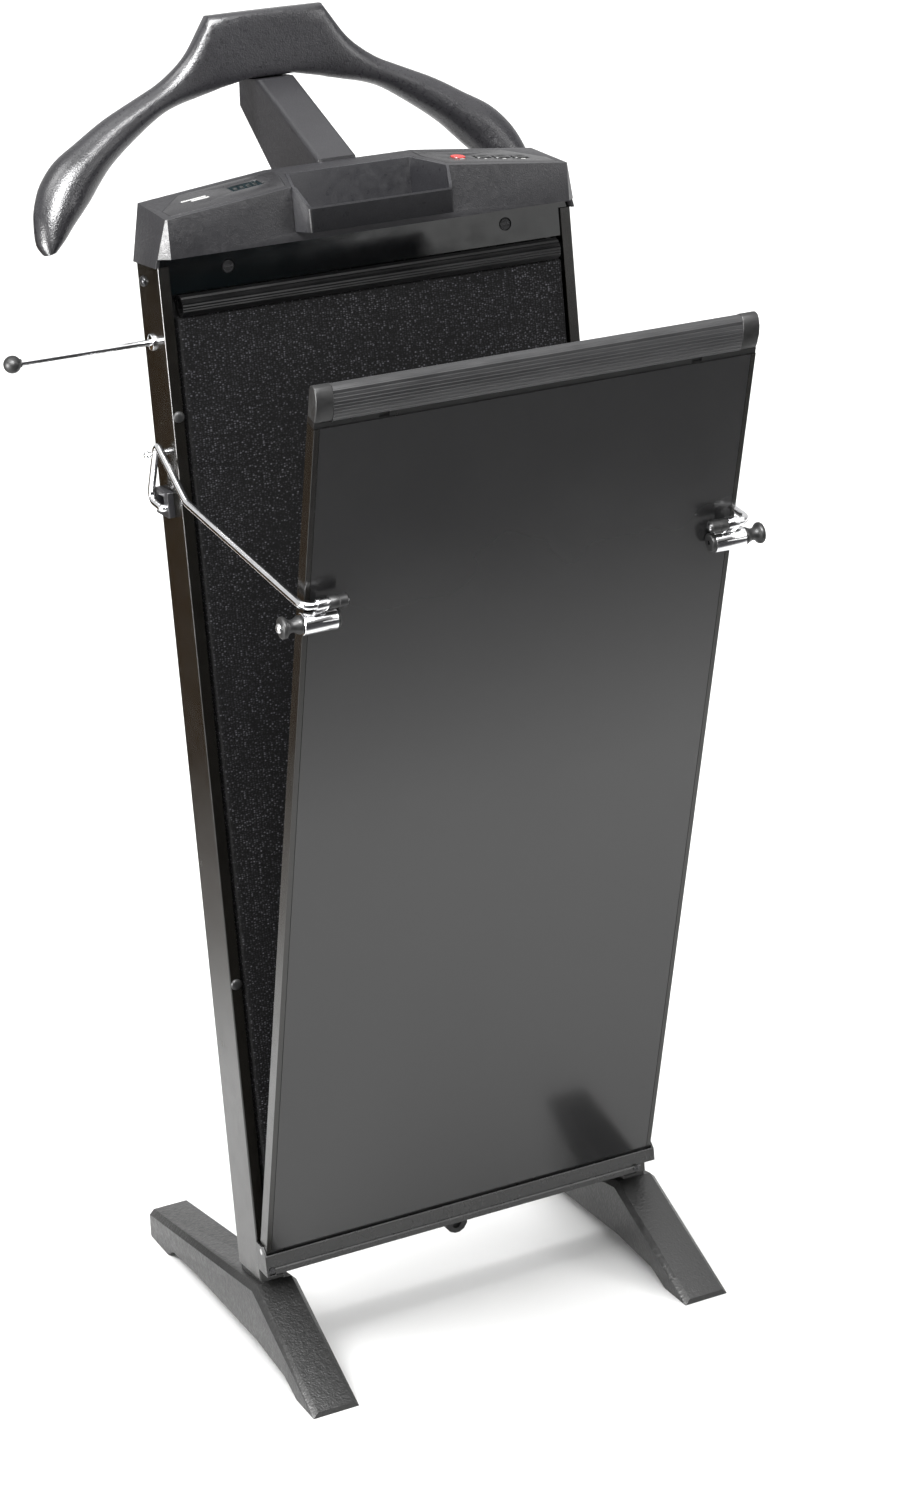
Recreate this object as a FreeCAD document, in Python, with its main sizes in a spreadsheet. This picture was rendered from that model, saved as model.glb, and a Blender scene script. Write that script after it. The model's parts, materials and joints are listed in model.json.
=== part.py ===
import FreeCAD, Part
import os
import math
import Sketcher
from FreeCAD import Vector, Placement, Rotation

# Free-standing trouser press with a jacket hanger.
# X runs across the press (positive to the right seen from the front), Y runs
# from front to back and Z is up.  The floor is Z = 0 and the origin is the
# middle of the press's floor outline.  All lengths are millimetres.

doc = FreeCAD.newDocument("TrouserPress")

# ---------------------------------------------------------------- sizes ----
SIZES = [
    ("frame_half", 178.5), ("frame_depth", 50.0), ("frame_bottom", 66.0), ("frame_top", 907.0),
    ("metal", 2.0), ("front_flange", 9.0), ("rear_flange", 18.5), ("panel_thick", 2.5),
    ("pad_half", 166.3), ("pad_bottom", 98.5), ("pad_top", 866.0), ("pad_front", -1.2), ("pad_back", 11.9),
    ("cover_thick", 1.2), ("rail_half", 163.4), ("rail_wall", 1.8),
    ("rail_bottom", 72.0), ("trough_half", 177.1), ("trough_front", -18.7), ("trough_low", 77.4), ("trough_lip", 94.0), ("trough_wall", 1.5),
    ("pivot_y", -10.0), ("pivot_z", 95.0), ("pivot_pin", 2.5), ("pivot_gap", 0.05), ("door_open", 21.0),
    ("door_half", 176.8), ("door_front", -6.2), ("door_back", 7.8), ("door_top", 785.0), ("sheet_half", 172.4),
    ("sheet_thick", 1.2), ("bumper_low", 789.7), ("bumper_high", 816.0), ("bumper_half", 163.0),
    ("clip_axis_y", -13.8), ("clip_axis_z", 628.0), ("roller_rad", 7.2), ("tail_y", -17.7), ("tail_z", 645.2),
    ("clip_out", 180.5), ("clip_in", 155.4), ("axle_rad", 2.0), ("wire_rad", 3.0), ("wire_gap", 0.05),
    ("arm_y", 22.5), ("arm_z", 713.5), ("arm_plane", 187.0), ("arm_front_x", 182.5),
    ("stop_y", 33.8), ("stop_z", 755.5), ("stop_rad", 2.4),
    ("foot_x", 167.0), ("foot_top_half", 15.3), ("foot_low_half", 19.6), ("foot_front", -119.7), ("foot_rear", 266.0),
    ("foot_ridge_y", -0.5), ("foot_ridge_z", 62.9), ("foot_rear_z", 25.8), ("foot_tip_z", 4.7),
    ("head_low_half", 180.5), ("head_top_half", 172.0), ("head_mid_half", 64.0), ("head_rear", 52.0), ("head_front", -14.0),
    ("head_mid_z", 964.5), ("head_end_z", 952.5), ("head_fall", 7.3), ("head_wall", 2.5), ("head_front_low", 914.2),
    ("tray_front", -33.0), ("tray_floor", 921.7), ("tray_wall", 2.0), ("tray_rear", 31.0), ("tray_gap", 0.2),
    ("bar_y", 30.0), ("bar_z", 845.0), ("bar_rad", 2.6), ("ball_x", -293.0), ("ball_rad", 7.0), ("bar_inner", -35.0),
    ("neck_half", 17.0), ("hanger_top", 1080.7), ("hanger_reach", 223.5), ("hanger_front", 178.0), ("hanger_back", 200.0),
    ("button_travel", 1.5), ("origin_dx", 38.25), ("origin_dy", 20.0),
]
sheet = doc.addObject("Spreadsheet::Sheet", "Sizes")
for i, (word, number) in enumerate(SIZES):
    sheet.set("A%d" % (i + 1), word)
    sheet.set("B%d" % (i + 1), repr(number))
    sheet.setAlias("B%d" % (i + 1), word)
doc.recompute()


class Q:
    """A length with its value and, where it comes from the sheet, its expression."""

    def __init__(self, v, e=None):
        self.v = float(v)
        self.e = e

    def txt(self):
        return self.e if self.e else "%.6f" % self.v

    def _mix(self, other, value, sign, flip=False):
        o = other if isinstance(other, Q) else Q(other)
        if self.e is None and o.e is None:
            return Q(value)
        a, b = (o, self) if flip else (self, o)
        return Q(value, "(%s %s %s)" % (a.txt(), sign, b.txt()))

    def __add__(self, o): return self._mix(o, self.v + val(o), "+")
    def __radd__(self, o): return self._mix(o, val(o) + self.v, "+", True)
    def __sub__(self, o): return self._mix(o, self.v - val(o), "-")
    def __rsub__(self, o): return self._mix(o, val(o) - self.v, "-", True)
    def __mul__(self, o): return self._mix(o, self.v * val(o), "*")
    def __rmul__(self, o): return self._mix(o, val(o) * self.v, "*", True)
    def __truediv__(self, o): return self._mix(o, self.v / val(o), "/")
    def __neg__(self): return Q(-self.v, "(0 - %s)" % self.e if self.e else None)


def val(q):
    return q.v if isinstance(q, Q) else float(q)


def cell(word):
    return Q(dict(SIZES)[word], "Sizes." + word)


def bind(obj, prop, q):
    if isinstance(q, Q) and q.e:
        obj.setExpression(prop, q.txt())
    else:
        obj.setExpression(prop, "%.6f" % val(q))


def body(name):
    b = doc.addObject("PartDesign::Body", name)
    b.Label = name
    return b


ROLE = {"x": "YZ_Plane", "y": "XZ_Plane", "z": "XY_Plane"}
count = [0]


def sketch(b, axis, at):
    """A sketch across the given axis, at the given distance along it."""
    count[0] += 1
    s = b.newObject("Sketcher::SketchObject", "Sketch%d" % count[0])
    for f in b.Origin.OriginFeatures:
        if f.Role == ROLE[axis]:
            s.AttachmentSupport = (f, [""])
    s.MapMode = "FlatFace"
    bind(s, "AttachmentOffset.Base.z", -at if axis == "y" and isinstance(at, Q) else (-val(at) if axis == "y" else at))
    return s


def fix(s, geo, pos, x, y):
    k = s.addConstraint(Sketcher.Constraint("DistanceX", -1, 1, geo, pos, val(x)))
    if isinstance(x, Q) and x.e:
        s.setExpression("Constraints[%d]" % k, x.txt())
    k = s.addConstraint(Sketcher.Constraint("DistanceY", -1, 1, geo, pos, val(y)))
    if isinstance(y, Q) and y.e:
        s.setExpression("Constraints[%d]" % k, y.txt())


def poly(s, pts):
    first = s.GeometryCount
    n = len(pts)
    for i in range(n):
        a, c = pts[i], pts[(i + 1) % n]
        s.addGeometry(Part.LineSegment(Vector(val(a[0]), val(a[1]), 0), Vector(val(c[0]), val(c[1]), 0)), False)
    for i in range(n):
        s.addConstraint(Sketcher.Constraint("Coincident", first + i, 2, first + (i + 1) % n, 1))
    for i in range(n):
        fix(s, first + i, 1, pts[i][0], pts[i][1])


def circ(s, cx, cy, r):
    g = s.addGeometry(Part.Circle(Vector(val(cx), val(cy), 0), Vector(0, 0, 1), val(r)), False)
    k = s.addConstraint(Sketcher.Constraint("Radius", g, val(r)))
    if isinstance(r, Q) and r.e:
        s.setExpression("Constraints[%d]" % k, r.txt())
    fix(s, g, 3, cx, cy)


def draw(s, shapes):
    for sh in shapes:
        if sh[0] == "c":
            circ(s, sh[1], sh[2], sh[3])
        else:
            poly(s, sh)


def box2(a0, a1, b0, b1):
    return [(a0, b0), (a1, b0), (a1, b1), (a0, b1)]


def add(b, axis, shapes, a, c):
    """Pad the outlines from a to c along the axis."""
    s = sketch(b, axis, a)
    draw(s, shapes)
    doc.recompute()
    p = b.newObject("PartDesign::Pad", "Pad%d" % count[0])
    p.Profile = s
    p.Reversed = (axis == "y")
    bind(p, "Length", (c - a) if isinstance(c, Q) or isinstance(a, Q) else val(c) - val(a))
    b.Tip = p
    doc.recompute()
    return b


def cut(b, axis, shapes, a, c):
    """Cut the outlines from a to c along the axis."""
    before = b.Shape.Volume
    s = sketch(b, axis, a)
    draw(s, shapes)
    doc.recompute()
    p = b.newObject("PartDesign::Pocket", "Pocket%d" % count[0])
    p.Profile = s
    p.Reversed = (axis != "y")
    bind(p, "Length", (c - a) if isinstance(c, Q) or isinstance(a, Q) else val(c) - val(a))
    b.Tip = p
    doc.recompute()
    if not b.Shape.Volume < before - 1e-6:
        raise RuntimeError("nothing cut in " + b.Label)
    return b


def turn(b, axis, pts, about="V"):
    """Revolve an outline, drawn in the XZ or XY plane, about that sketch's vertical or horizontal axis."""
    s = sketch(b, axis, 0)
    poly(s, pts)
    doc.recompute()
    r = b.newObject("PartDesign::Revolution", "Turn%d" % count[0])
    r.Profile = s
    r.ReferenceAxis = (s, ["V_Axis" if about == "V" else "H_Axis"])
    r.Angle = 360
    b.Tip = r
    doc.recompute()
    return b


def dress(b, kind, size, test):
    """Round or bevel the edges whose middle point passes the test."""
    names = []
    for i, e in enumerate(b.Shape.Edges):
        m = e.valueAt((e.FirstParameter + e.LastParameter) / 2)
        if test(m, e):
            names.append("Edge%d" % (i + 1))
    if not names:
        raise RuntimeError("no edge found in " + b.Label)
    old = b.Tip
    f = b.newObject("PartDesign::" + kind, kind + b.Name)
    f.Base = (old, names)
    bind(f, "Radius" if kind == "Fillet" else "Size", size)
    b.Tip = f
    doc.recompute()
    if "Invalid" in f.State or "Error" in f.State or b.Shape.isNull() or not b.Shape.isValid():
        raise RuntimeError("%s failed in %s" % (kind, b.Label))
    return b


def feature(name, shape):
    f = doc.addObject("Part::Feature", name)
    f.Label = name
    f.Shape = shape
    return f


def group(name, members):
    g = doc.addObject("Part::Compound", name)
    g.Label = name
    g.Links = members
    doc.recompute()
    return g


def subtract(name, base, tools):
    for i, t in enumerate(tools):
        c = doc.addObject("Part::Cut", name if i == len(tools) - 1 else name + "_step%d" % i)
        c.Base = base
        c.Tool = t
        doc.recompute()
        if not c.Shape.Volume < base.Shape.Volume - 1e-6:
            raise RuntimeError("nothing cut in " + name)
        base = c
    base.Label = name
    return base


NODES = []


def keep(obj, place=None):
    """List a finished sub-part; place is its pose before the origin shift."""
    NODES.append((obj, place if place is not None else Placement()))
    return obj


c = {w: cell(w) for w, n in SIZES}
A = c["frame_half"]; D = c["frame_depth"]; ZB = c["frame_bottom"]; ZT = c["frame_top"]; M = c["metal"]
PANEL_F = D - M - c["panel_thick"]          # front face of the back panel


def sx(sg, q):
    return q if sg > 0 else -q if isinstance(q, Q) else -val(q)


def span(sg, inner, outer):
    """The two X limits of something between inner and outer, on either side."""
    return (inner, outer) if sg > 0 else ((-outer if isinstance(outer, Q) else -val(outer)), (-inner if isinstance(inner, Q) else -val(inner)))


# ------------------------------------------------------------ side channels
# Each is a C section opening inwards, cut on a slight slope at the foot.
for sg, side in ((-1, "left"), (1, "right")):
    b = body(side + "_side_channel")
    sec = [(A, 0), (A, D), (A - c["rear_flange"], D), (A - c["rear_flange"], D - M), (A - M, D - M), (A - M, M),
           (A - c["front_flange"], M), (A - c["front_flange"], 0)]
    add(b, "z", [[(sx(sg, p[0]), p[1]) for p in sec]], ZB - 4, ZT)
    dress(b, "Fillet", 1.2, lambda m, e: abs(abs(m.x) - A.v) < 0.01 and (abs(m.y) < 0.01 or abs(m.y - D.v) < 0.01) and abs(m.z - 484) < 20)
    # sloping foot end
    cut(b, "x", [[(-1, ZB - 5), (D + 1, ZB - 5), (D + 1, ZB - 4), (0, ZB), (-1, ZB)]], -A.v - 1 if sg < 0 else 0, 0 if sg < 0 else A.v + 1)
    # hole for the stay arm's pivot, the stop pin and, on the left, the tie bar's bush
    lo, hi = span(sg, A - 4, A + 1)
    cut(b, "x", [("c", c["arm_y"], c["arm_z"], c["wire_rad"] + 0.6)], lo, hi)
    cut(b, "x", [("c", c["stop_y"], c["stop_z"], c["stop_rad"])], lo, hi)
    cut(b, "x", [("c", 36.5, 893, 2.0)], lo, hi)
    if sg < 0:
        cut(b, "x", [("c", c["bar_y"], c["bar_z"], 5.0)], lo, hi)
    # holes for the foot bolts in the rear flange and the buffers in the front flange
    for zz in (80, 100):
        cut(b, "y", [("c", sx(sg, 168.5), zz, 2.5)], D - M - 0.5, D + 0.5)
    for zz in (320.8, 788.7):
        cut(b, "y", [("c", sx(sg, 173.5), zz, 1.6)], -0.5, M + 0.5)
    keep(b)

# ------------------------------------------------------------- back panel
b = body("back_panel")
add(b, "y", [box2(-(A - M - 0.2), A - M - 0.2, ZB + 2, ZT - 28)], PANEL_F, D - M)
for sg in (-1, 1):
    for zz in (80, 100):
        cut(b, "y", [("c", sx(sg, 168.5), zz, 2.5)], PANEL_F - 0.5, D - M + 0.5)
    cut(b, "y", [("c", 40 * sg, 880 - 12, 2.5)], PANEL_F - 0.5, D - M + 0.5)
keep(b)

# ------------------------------------------------------- bottom cross rail
b = body("bottom_cross_rail")
RB = c["rail_bottom"]
add(b, "x", [box2(M + 0.1, PANEL_F, RB, 96)], -160.8, 160.8)
cut(b, "x", [box2(M + 2.1, PANEL_F - 2, RB + 2, 94)], -161, 161)
cut(b, "z", [("c", 4.5, 20.0, 5.0)], RB - 0.5, RB + 2.5)
keep(b)

# ------------------------------------------------ trough under the door
T = c["trough_wall"]; TF = c["trough_front"]; TL = c["trough_low"]; TP = c["trough_lip"]; TH = c["trough_half"]
b = body("hinge_trough")
add(b, "x", [[(TF, TL), (0, TL), (0, 92), (-T, 92), (-T, TL + T), (TF + T, TL + T), (TF + T, TP), (TF + 0.4, TP), (TF, TP - 0.6)]], -TH, TH)
# a low ledge along the front, below the lip
add(b, "x", [[(TF - 1.4, TL), (TF, TL), (TF, TL + 5.4), (TF - 0.7, TL + 5.2), (TF - 1.4, TL + 4.2)]], -171.5, 165.0)
for xx in (-173.9, 160.0):
    cut(b, "y", [("c", xx, 80.7, 1.6)], TF - 1.6, TF + T + 0.1)
# the lip runs on past the ledge at the right end
cut(b, "z", [box2(165.0, TH + 1, TF - 2, -6.0)], TL - 1, TL + 5.4)
keep(b)

members = []
for sg in (-1, 1):
    b = body("EndBracket%s" % ("L" if sg < 0 else "R"))
    lo, hi = span(sg, TH + 0.1, TH + 1.7)
    foot = [(TF - 1.4, TL - 1.2), (-0.05, TL - 1.2)] if sg < 0 else [(TF, TL + 5.4), (-5.5, TL + 5.0), (-4.0, TL), (-0.05, TL)]
    add(b, "x", [foot + [(-0.05, 100), (-12.5, 100), (-15.5, 97), (TF, 93.5)]], lo, hi)
    if sg < 0:
        add(b, "x", [box2(TF - 1.4, -0.05, TL - 1.2, TL - 0.1)], hi, hi + 6.5)
    cut(b, "x", [("c", c["pivot_y"], c["pivot_z"], c["pivot_pin"])], lo - 1, hi + 1)
    members.append(b)
keep(group("trough_end_brackets", members))

members = []
for sg in (-1, 1):
    b = body("PivotPin%s" % ("L" if sg < 0 else "R"))
    lo, hi = span(sg, 165.0, TH + 1.7)
    add(b, "x", [("c", c["pivot_y"], c["pivot_z"], c["pivot_pin"])], lo, hi)
    members.append(b)
keep(group("door_pivot_pins", members))

# screws with slotted pan heads: two in the trough lip, two in the fascia wells
members = []
for i, (x, z, face) in enumerate(((-173.9, 80.7, TF.v), (160.0, 80.7, TF.v - 1.4), (-120.0, 900.5, 4.6), (120.0, 900.5, 4.6))):
    b = body("PanScrew%d" % i)
    if i < 2:
        add(b, "y", [("c", x, z, 1.6)], face, TF.v + 2.8)
        add(b, "y", [("c", x, z, 2.3)], face - 1.3, face)
        cut(b, "y", [box2(x - 4, x + 4, z - 0.35, z + 0.35)], face - 1.4, face - 0.7)
    else:
        add(b, "y", [("c", x, z, 1.6)], face, face + 6.0)
        add(b, "y", [("c", x, z, 4.2)], face - 2.0, face)
        cut(b, "y", [box2(x - 5, x + 5, z - 0.45, z + 0.45)], face - 2.1, face - 1.2)
    members.append(b)
keep(group("frame_screws", members))

# ------------------------------------------------------------ cross braces
members = []
for nm, z0, z1 in (("Upper", 852.0, 884.0), ("Lower", 130.0, 160.0)):
    b = body("Brace" + nm)
    w = A - M - 0.1
    add(b, "x", [[(c["pad_back"], z0), (c["pad_back"] + 10, z0), (c["pad_back"] + 10, z0 + 1.6), (c["pad_back"] + 1.6, z0 + 1.6),
                  (c["pad_back"] + 1.6, z1 - 1.6), (c["pad_back"] + 10, z1 - 1.6), (c["pad_back"] + 10, z1), (c["pad_back"], z1)]], -w, w)
    members.append(b)
keep(group("cross_braces", members))

# ---------------------------------------------------------- pressing pad
PH = c["pad_half"]; PB = c["pad_bottom"]; PT = c["pad_top"]; PF = c["pad_front"]; PK = c["pad_back"]; CT = c["cover_thick"]
b = body("pad_fabric")
add(b, "y", [box2(-PH, PH, PB, PT)], PF, PK)
dress(b, "Fillet", 2.5, lambda m, e: abs(m.y - PF.v) < 0.01)
cut(b, "y", [box2(-(PH - CT), PH - CT, PB + CT, PT - CT)], PF + CT, PK + 1)
keep(b)
b = body("pad_foam")
add(b, "y", [box2(-(PH - CT), PH - CT, PB + CT, PT - CT)], PF + CT, 8.0)
keep(b)
b = body("heater_sheet")
add(b, "y", [box2(-(PH - CT), PH - CT, PB + CT, PT - CT)], 8.0, 8.8)
keep(b)
b = body("pad_back_plate")
add(b, "y", [box2(-(PH - CT), PH - CT, PB + CT, PT - CT)], 8.8, PK)
keep(b)

# grip rail: a soft hollow strip with lengthwise ribs and a foot behind
RW = c["rail_wall"]; RH = c["rail_half"]
b = body("grip_rail")
outer = [(-2.0, 866.4), (-6.2, 870.2), (-7.0, 871.0), (-6.6, 872.0), (-7.5, 873.0), (-7.0, 874.0), (-7.6, 875.2), (-7.0, 876.4), (-7.2, 877.6),
         (-6.2, 878.4), (-6.0, 880.0), (-4.6, 880.6), (-3.8, 882.2), (-2.2, 882.6), (0.5, 883.6), (4.5, 882.6), (8.3, 878.6), (11.9, 878.6), (11.9, 870.4),
         (8.3, 870.4), (4.5, 866.8)]
inner = [(-1.4, 868.6), (-5.0, 872.0), (-5.4, 875.2), (-4.8, 877.8), (-2.4, 880.4), (0.5, 881.6), (3.6, 880.8), (6.4, 877.6), (6.4, 871.6), (3.6, 868.8)]
add(b, "x", [outer, inner], -RH, RH)
keep(b)

# ------------------------------------------------------------- fascia strip
b = body("fascia_strip")
add(b, "y", [box2(-(A - M - 0.2), A - M - 0.2, 884.6, 913.8)], M, M + 2.5)
for sg in (-1, 1):
    cut(b, "y", [("c", 120.0 * sg, 900.5, 5.5)], M - 0.5, M + 3)
    # clears the corner of the base plug
keep(b)

# ----------------------------------------------------------------- head
HL = c["head_low_half"]; HT = c["head_top_half"]; HM = c["head_mid_half"]; HR = c["head_rear"]; HF = c["head_front"]
ZM = c["head_mid_z"]; ZE = c["head_end_z"]; FALL = c["head_fall"]; W = c["head_wall"]; HB = c["head_front_low"]


def loft(b, rear, front, yr, yf, sub=False):
    s1 = sketch(b, "y", yr)
    poly(s1, rear)
    s2 = sketch(b, "y", yf)
    poly(s2, front)
    doc.recompute()
    L = b.newObject("PartDesign::SubtractiveLoft" if sub else "PartDesign::AdditiveLoft", "Loft%d" % count[0])
    L.Profile = s1
    L.Sections = [s2]
    L.Ruled = True
    b.Tip = L
    doc.recompute()


head = body("HeadShell")
loft(head,
     [(-HL, ZT), (-HT, ZE), (-HM, ZM), (HM, ZM), (HT, ZE), (HL, ZT)],
     [(-HL - 0.7, ZT), (-HT - 0.8, ZE - FALL), (-HM - 1.5, ZM - FALL), (HM + 1.5, ZM - FALL), (HT + 0.8, ZE - FALL), (HL + 0.7, ZT)], HR, HF)
# bevelled front corners
for sg in (-1, 1):
    cut(head, "z", [[(sx(sg, HL + 3), HF - 1), (sx(sg, HL + 3), -3.0), (sx(sg, HL + 0.7), -3.0), (sx(sg, HL - 9.0), HF), (sx(sg, HL - 9.0), HF - 1)]], ZT - 1, ZM)
# the front lower edge stands higher than the ends
cut(head, "y", [box2(-HL - 5, HL + 5, ZT - 2, HB)], HF - 1, -3.0)
v0 = head.Shape.Volume
YB = -3.0                                   # where the corner bevels begin


def hollow(y, draw_in):
    """The cavity's outline at a depth y, drawn in at the ends."""
    f = (val(HR) - y) / (val(HR) - val(HF))
    drop = FALL * f
    g = 0.7 * f + draw_in * -1
    return [(-HL - g + W, ZT - 1), (-HT - g + W + 0.2, ZE - drop - W), (-HM - 1.5 * f, ZM - drop - W), (HM + 1.5 * f, ZM - drop - W), (HT + g - W - 0.2, ZE - drop - W), (HL + g - W, ZT - 1)]


loft(head, hollow(val(HR) - val(W), 0.0), hollow(YB, 0.0), HR - W, YB, True)
loft(head, hollow(YB, 0.0), hollow(val(HF) + val(W), 11.0), YB, HF + W, True)
if not head.Shape.Volume < v0:
    raise RuntimeError("head not hollow")
# opening that the tray sits in, and its front notch
TG = c["tray_gap"]
RIMX = 54.5; MIDX = 67.5; FRX = 61.0
cut(head, "z", [[(-(RIMX + TG), c["tray_rear"] + TG), (-(MIDX + TG), HF - 0.1), (-(MIDX + TG), HF - 2), ((MIDX + TG), HF - 2), (MIDX + TG, HF - 0.1), (RIMX + TG, c["tray_rear"] + TG)]],
    c["tray_floor"] - TG, ZM + 2)


def slope(sg, x, y):
    """Pose on the sloping top face: origin on the face, Z along its normal."""
    k = (val(ZM) - val(ZE)) / (val(HT) - val(HM)) * -sg
    j = val(FALL) / (val(HR) - val(HF))
    z = val(ZM) + k * (x - sg * val(HM)) - j * (val(HR) - y)
    n = Vector(-k, -j, 1).normalize()
    ex = Vector(1, 0, k).normalize()
    return Placement(Vector(x, y, z), Rotation(ex, n.cross(ex), n, "ZXY"))


DISP = slope(-1, -115.0, 19.0)
CTRL = slope(1, 115.0, 19.0)
plate_l = [(-52, -26), (45.5, -26), (54, 8), (54, 25), (-26, 25), (-52, -8)]
plate_r = [(-p[0], p[1]) for p in plate_l]


def inset(pts, g):
    cx = sum(p[0] for p in pts) / len(pts)
    cy = sum(p[1] for p in pts) / len(pts)
    out = []
    for x, y in pts:
        r = math.hypot(x - cx, y - cy)
        out.append((cx + (x - cx) * (r - g) / r, cy + (y - cy) * (r - g) / r))
    return out


tools = []
for nm, pts, place in (("L", plate_l, DISP), ("R", plate_r, CTRL)):
    t1 = body("Recess" + nm)
    add(t1, "z", [pts], -1.2, 4)
    t1.Placement = place
    t2 = body("Window" + nm)
    add(t2, "z", [inset(pts, 7)], -8, 1)
    t2.Placement = place
    tools += [t1, t2]
doc.recompute()
# sockets for the neck bolts stay clear of the head
keep(subtract("head_cover", head, tools))

# base under the head with plugs that stand in the side channels
b = body("head_base")
add(b, "z", [[(-175.0, 49.2), (-175.0, -1.0), (-163.5, -10.9), (163.5, -10.9), (175.0, -1.0), (175.0, 49.2)]], 914.5, 917.0)
for sg in (-1, 1):
    lo, hi = span(sg, 162.0, A - M - 0.5)
    add(b, "z", [box2(lo, hi, M + 2.6, 45.4)], 888.0, 914.5)
    lo, hi = span(sg, 170.0, A - M + 0.5)
    cut(b, "x", [("c", 36.5, 893, 2.0)], lo, hi)
add(b, "y", [box2(-140, 140, 887.0, 914.5)], M + 2.6, M + 5.1)
for sg in (-1, 1):
    cut(b, "y", [("c", 120.0 * sg, 900.5, 1.6)], M + 2, M + 6)
keep(b)

# display plate, its module, control plate, board and buttons
b = body("display_plate")
add(b, "z", [inset(plate_l, 0.25)], -1.2, 0.15)
cut(b, "z", [box2(10, 36, -4, 12)], -2, 1)
keep(b, DISP)
b = body("display_module")
add(b, "z", [box2(5, 40, -9, 16)], -7.0, -1.2)
add(b, "z", [box2(10.2, 35.8, -3.8, 11.8)], -1.2, -0.5)
keep(b, DISP)

BTN = [("power_button", -24.6, -0.9, 6.0), ("short_press_button", -4.3, -2.7, 6.8), ("medium_press_button", 11.9, -4.1, 6.8), ("long_press_button", 28.1, -5.7, 6.8)]
b = body("control_plate")
add(b, "z", [inset(plate_r, 0.25)], -1.2, 0.15)
for nm, bx, by, r in BTN:
    if nm == "power_button":
        cut(b, "z", [("c", bx, by, r + 0.25)], -2, 1)
    else:
        cut(b, "z", [box2(bx - r - 0.25, bx + r + 0.25, by - 5.0 - 0.25, by + 5.0 + 0.25)], -2, 1)
keep(b, CTRL)
b = body("circuit_board")
add(b, "z", [box2(-38, 42, -16, 18)], -8.6, -7.0)
keep(b, CTRL)
for nm, bx, by, r in BTN:
    b = body(nm)
    if nm == "power_button":
        add(b, "z", [("c", bx, by, r)], -4.0, 1.2)
        dress(b, "Fillet", 0.7, lambda m, e: abs(m.z - 1.2) < 0.01)
        add(b, "z", [("c", bx, by, r - 2)], -5.2, -4.0)
    else:
        add(b, "z", [box2(bx - r, bx + r, by - 5, by + 5)], -4.0, 0.9)
        dress(b, "Fillet", 1.6, lambda m, e: abs(m.z + 1.5) < 0.6 and e.Length < 5.5)
        cut(b, "x", [[(by - 5.5, 1.6), (by - 5.5, 1.0), (by - 3.2, 0.9), (by + 2.0, 0.1), (by + 5.5, 0.6), (by + 5.5, 1.6)]], bx - r - 1, bx + r + 1)
        add(b, "z", [box2(bx - r + 2, bx + r - 2, by - 3, by + 3)], -5.2, -4.0)
    keep(b, CTRL)

# open tray
TFY = c["tray_front"]; TZ = c["tray_floor"]; TW = c["tray_wall"]; TR = c["tray_rear"]
b = body("tray")
add(b, "z", [[(-RIMX, TR), (-MIDX, HF), (-FRX, TFY), (FRX, TFY), (MIDX, HF), (RIMX, TR)]], TZ, ZM)
dress(b, "Fillet", 3.0, lambda m, e: abs(m.y - TFY.v) < 0.01 and e.Length > 20 and abs(m.z - 942) < 8)
cut(b, "z", [[(-RIMX + TW + 0.3, TR - TW), (-MIDX + TW + 0.3, HF), (-FRX + TW, TFY + TW), (FRX - TW, TFY + TW), (MIDX - TW - 0.3, HF), (RIMX - TW - 0.3, TR - TW)]], TZ + TW, ZM + 1)
cut(b, "x", [[(TR + 1, ZM + 2), (TR + 1, ZM - 2.3), (HF, ZM - FALL + 0.1), (HF - 3, ZM - FALL - 1.5), (TFY + 1, 940.5), (TFY - 1, 940.0), (TFY - 1, ZM + 2)]], -80, 80)
keep(b)

# ------------------------------------------------ window brackets, stop pins
members = []
pins = []
for sg, tag in ((-1, "L"), (1, "R")):
    b = body("Bracket" + tag)
    lo, hi = span(sg, A, A + 5.1)
    add(b, "x", [box2(17.5, 47.5, 705.5, 726.5)], lo, hi)
    dress(b, "Fillet", 1.5, lambda m, e: abs(abs(m.x) - (A.v + 2.55)) < 0.1)
    cut(b, "x", [box2(27.5, 43.0, 710.5, 721.5)], lo - 1, hi + 1)
    cut(b, "x", [("c", c["arm_y"], c["arm_z"], c["wire_rad"] + c["wire_gap"])], lo - 1, hi + 1)
    members.append(b)
    p = body("StopPin" + tag)
    prof = [(0, -6.0), (c["stop_rad"], -6.0), (c["stop_rad"], 11.9), (3.4, 11.9), (3.4, 13.2), (2.6, 14.6), (1.4, 15.3), (0, 15.5)]
    turn(p, "x", [(q[0], q[1]) for q in prof])          # outline turned about the vertical axis of its sketch
    p.Placement = Placement(Vector(sg * A.v, c["stop_y"].v, c["stop_z"].v), Rotation(Vector(0, 1, 0), 90 * sg))
    pins.append(p)
doc.recompute()
keep(group("window_brackets", members))
keep(group("stop_pins", pins))

# dome screws high on the channels
members = []
for sg, tag in ((-1, "L"), (1, "R")):
    p = body("DomeScrew" + tag)
    turn(p, "x", [(0, -6.0), (2.0, -6.0), (2.0, 0), (4.4, 0), (4.2, 1.0), (3.4, 2.1), (2.0, 2.8), (0, 3.0)])
    p.Placement = Placement(Vector(sg * A.v, 36.5, 893.0), Rotation(Vector(0, 1, 0), 90 * sg))
    members.append(p)
doc.recompute()
keep(group("side_dome_screws", members))

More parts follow.
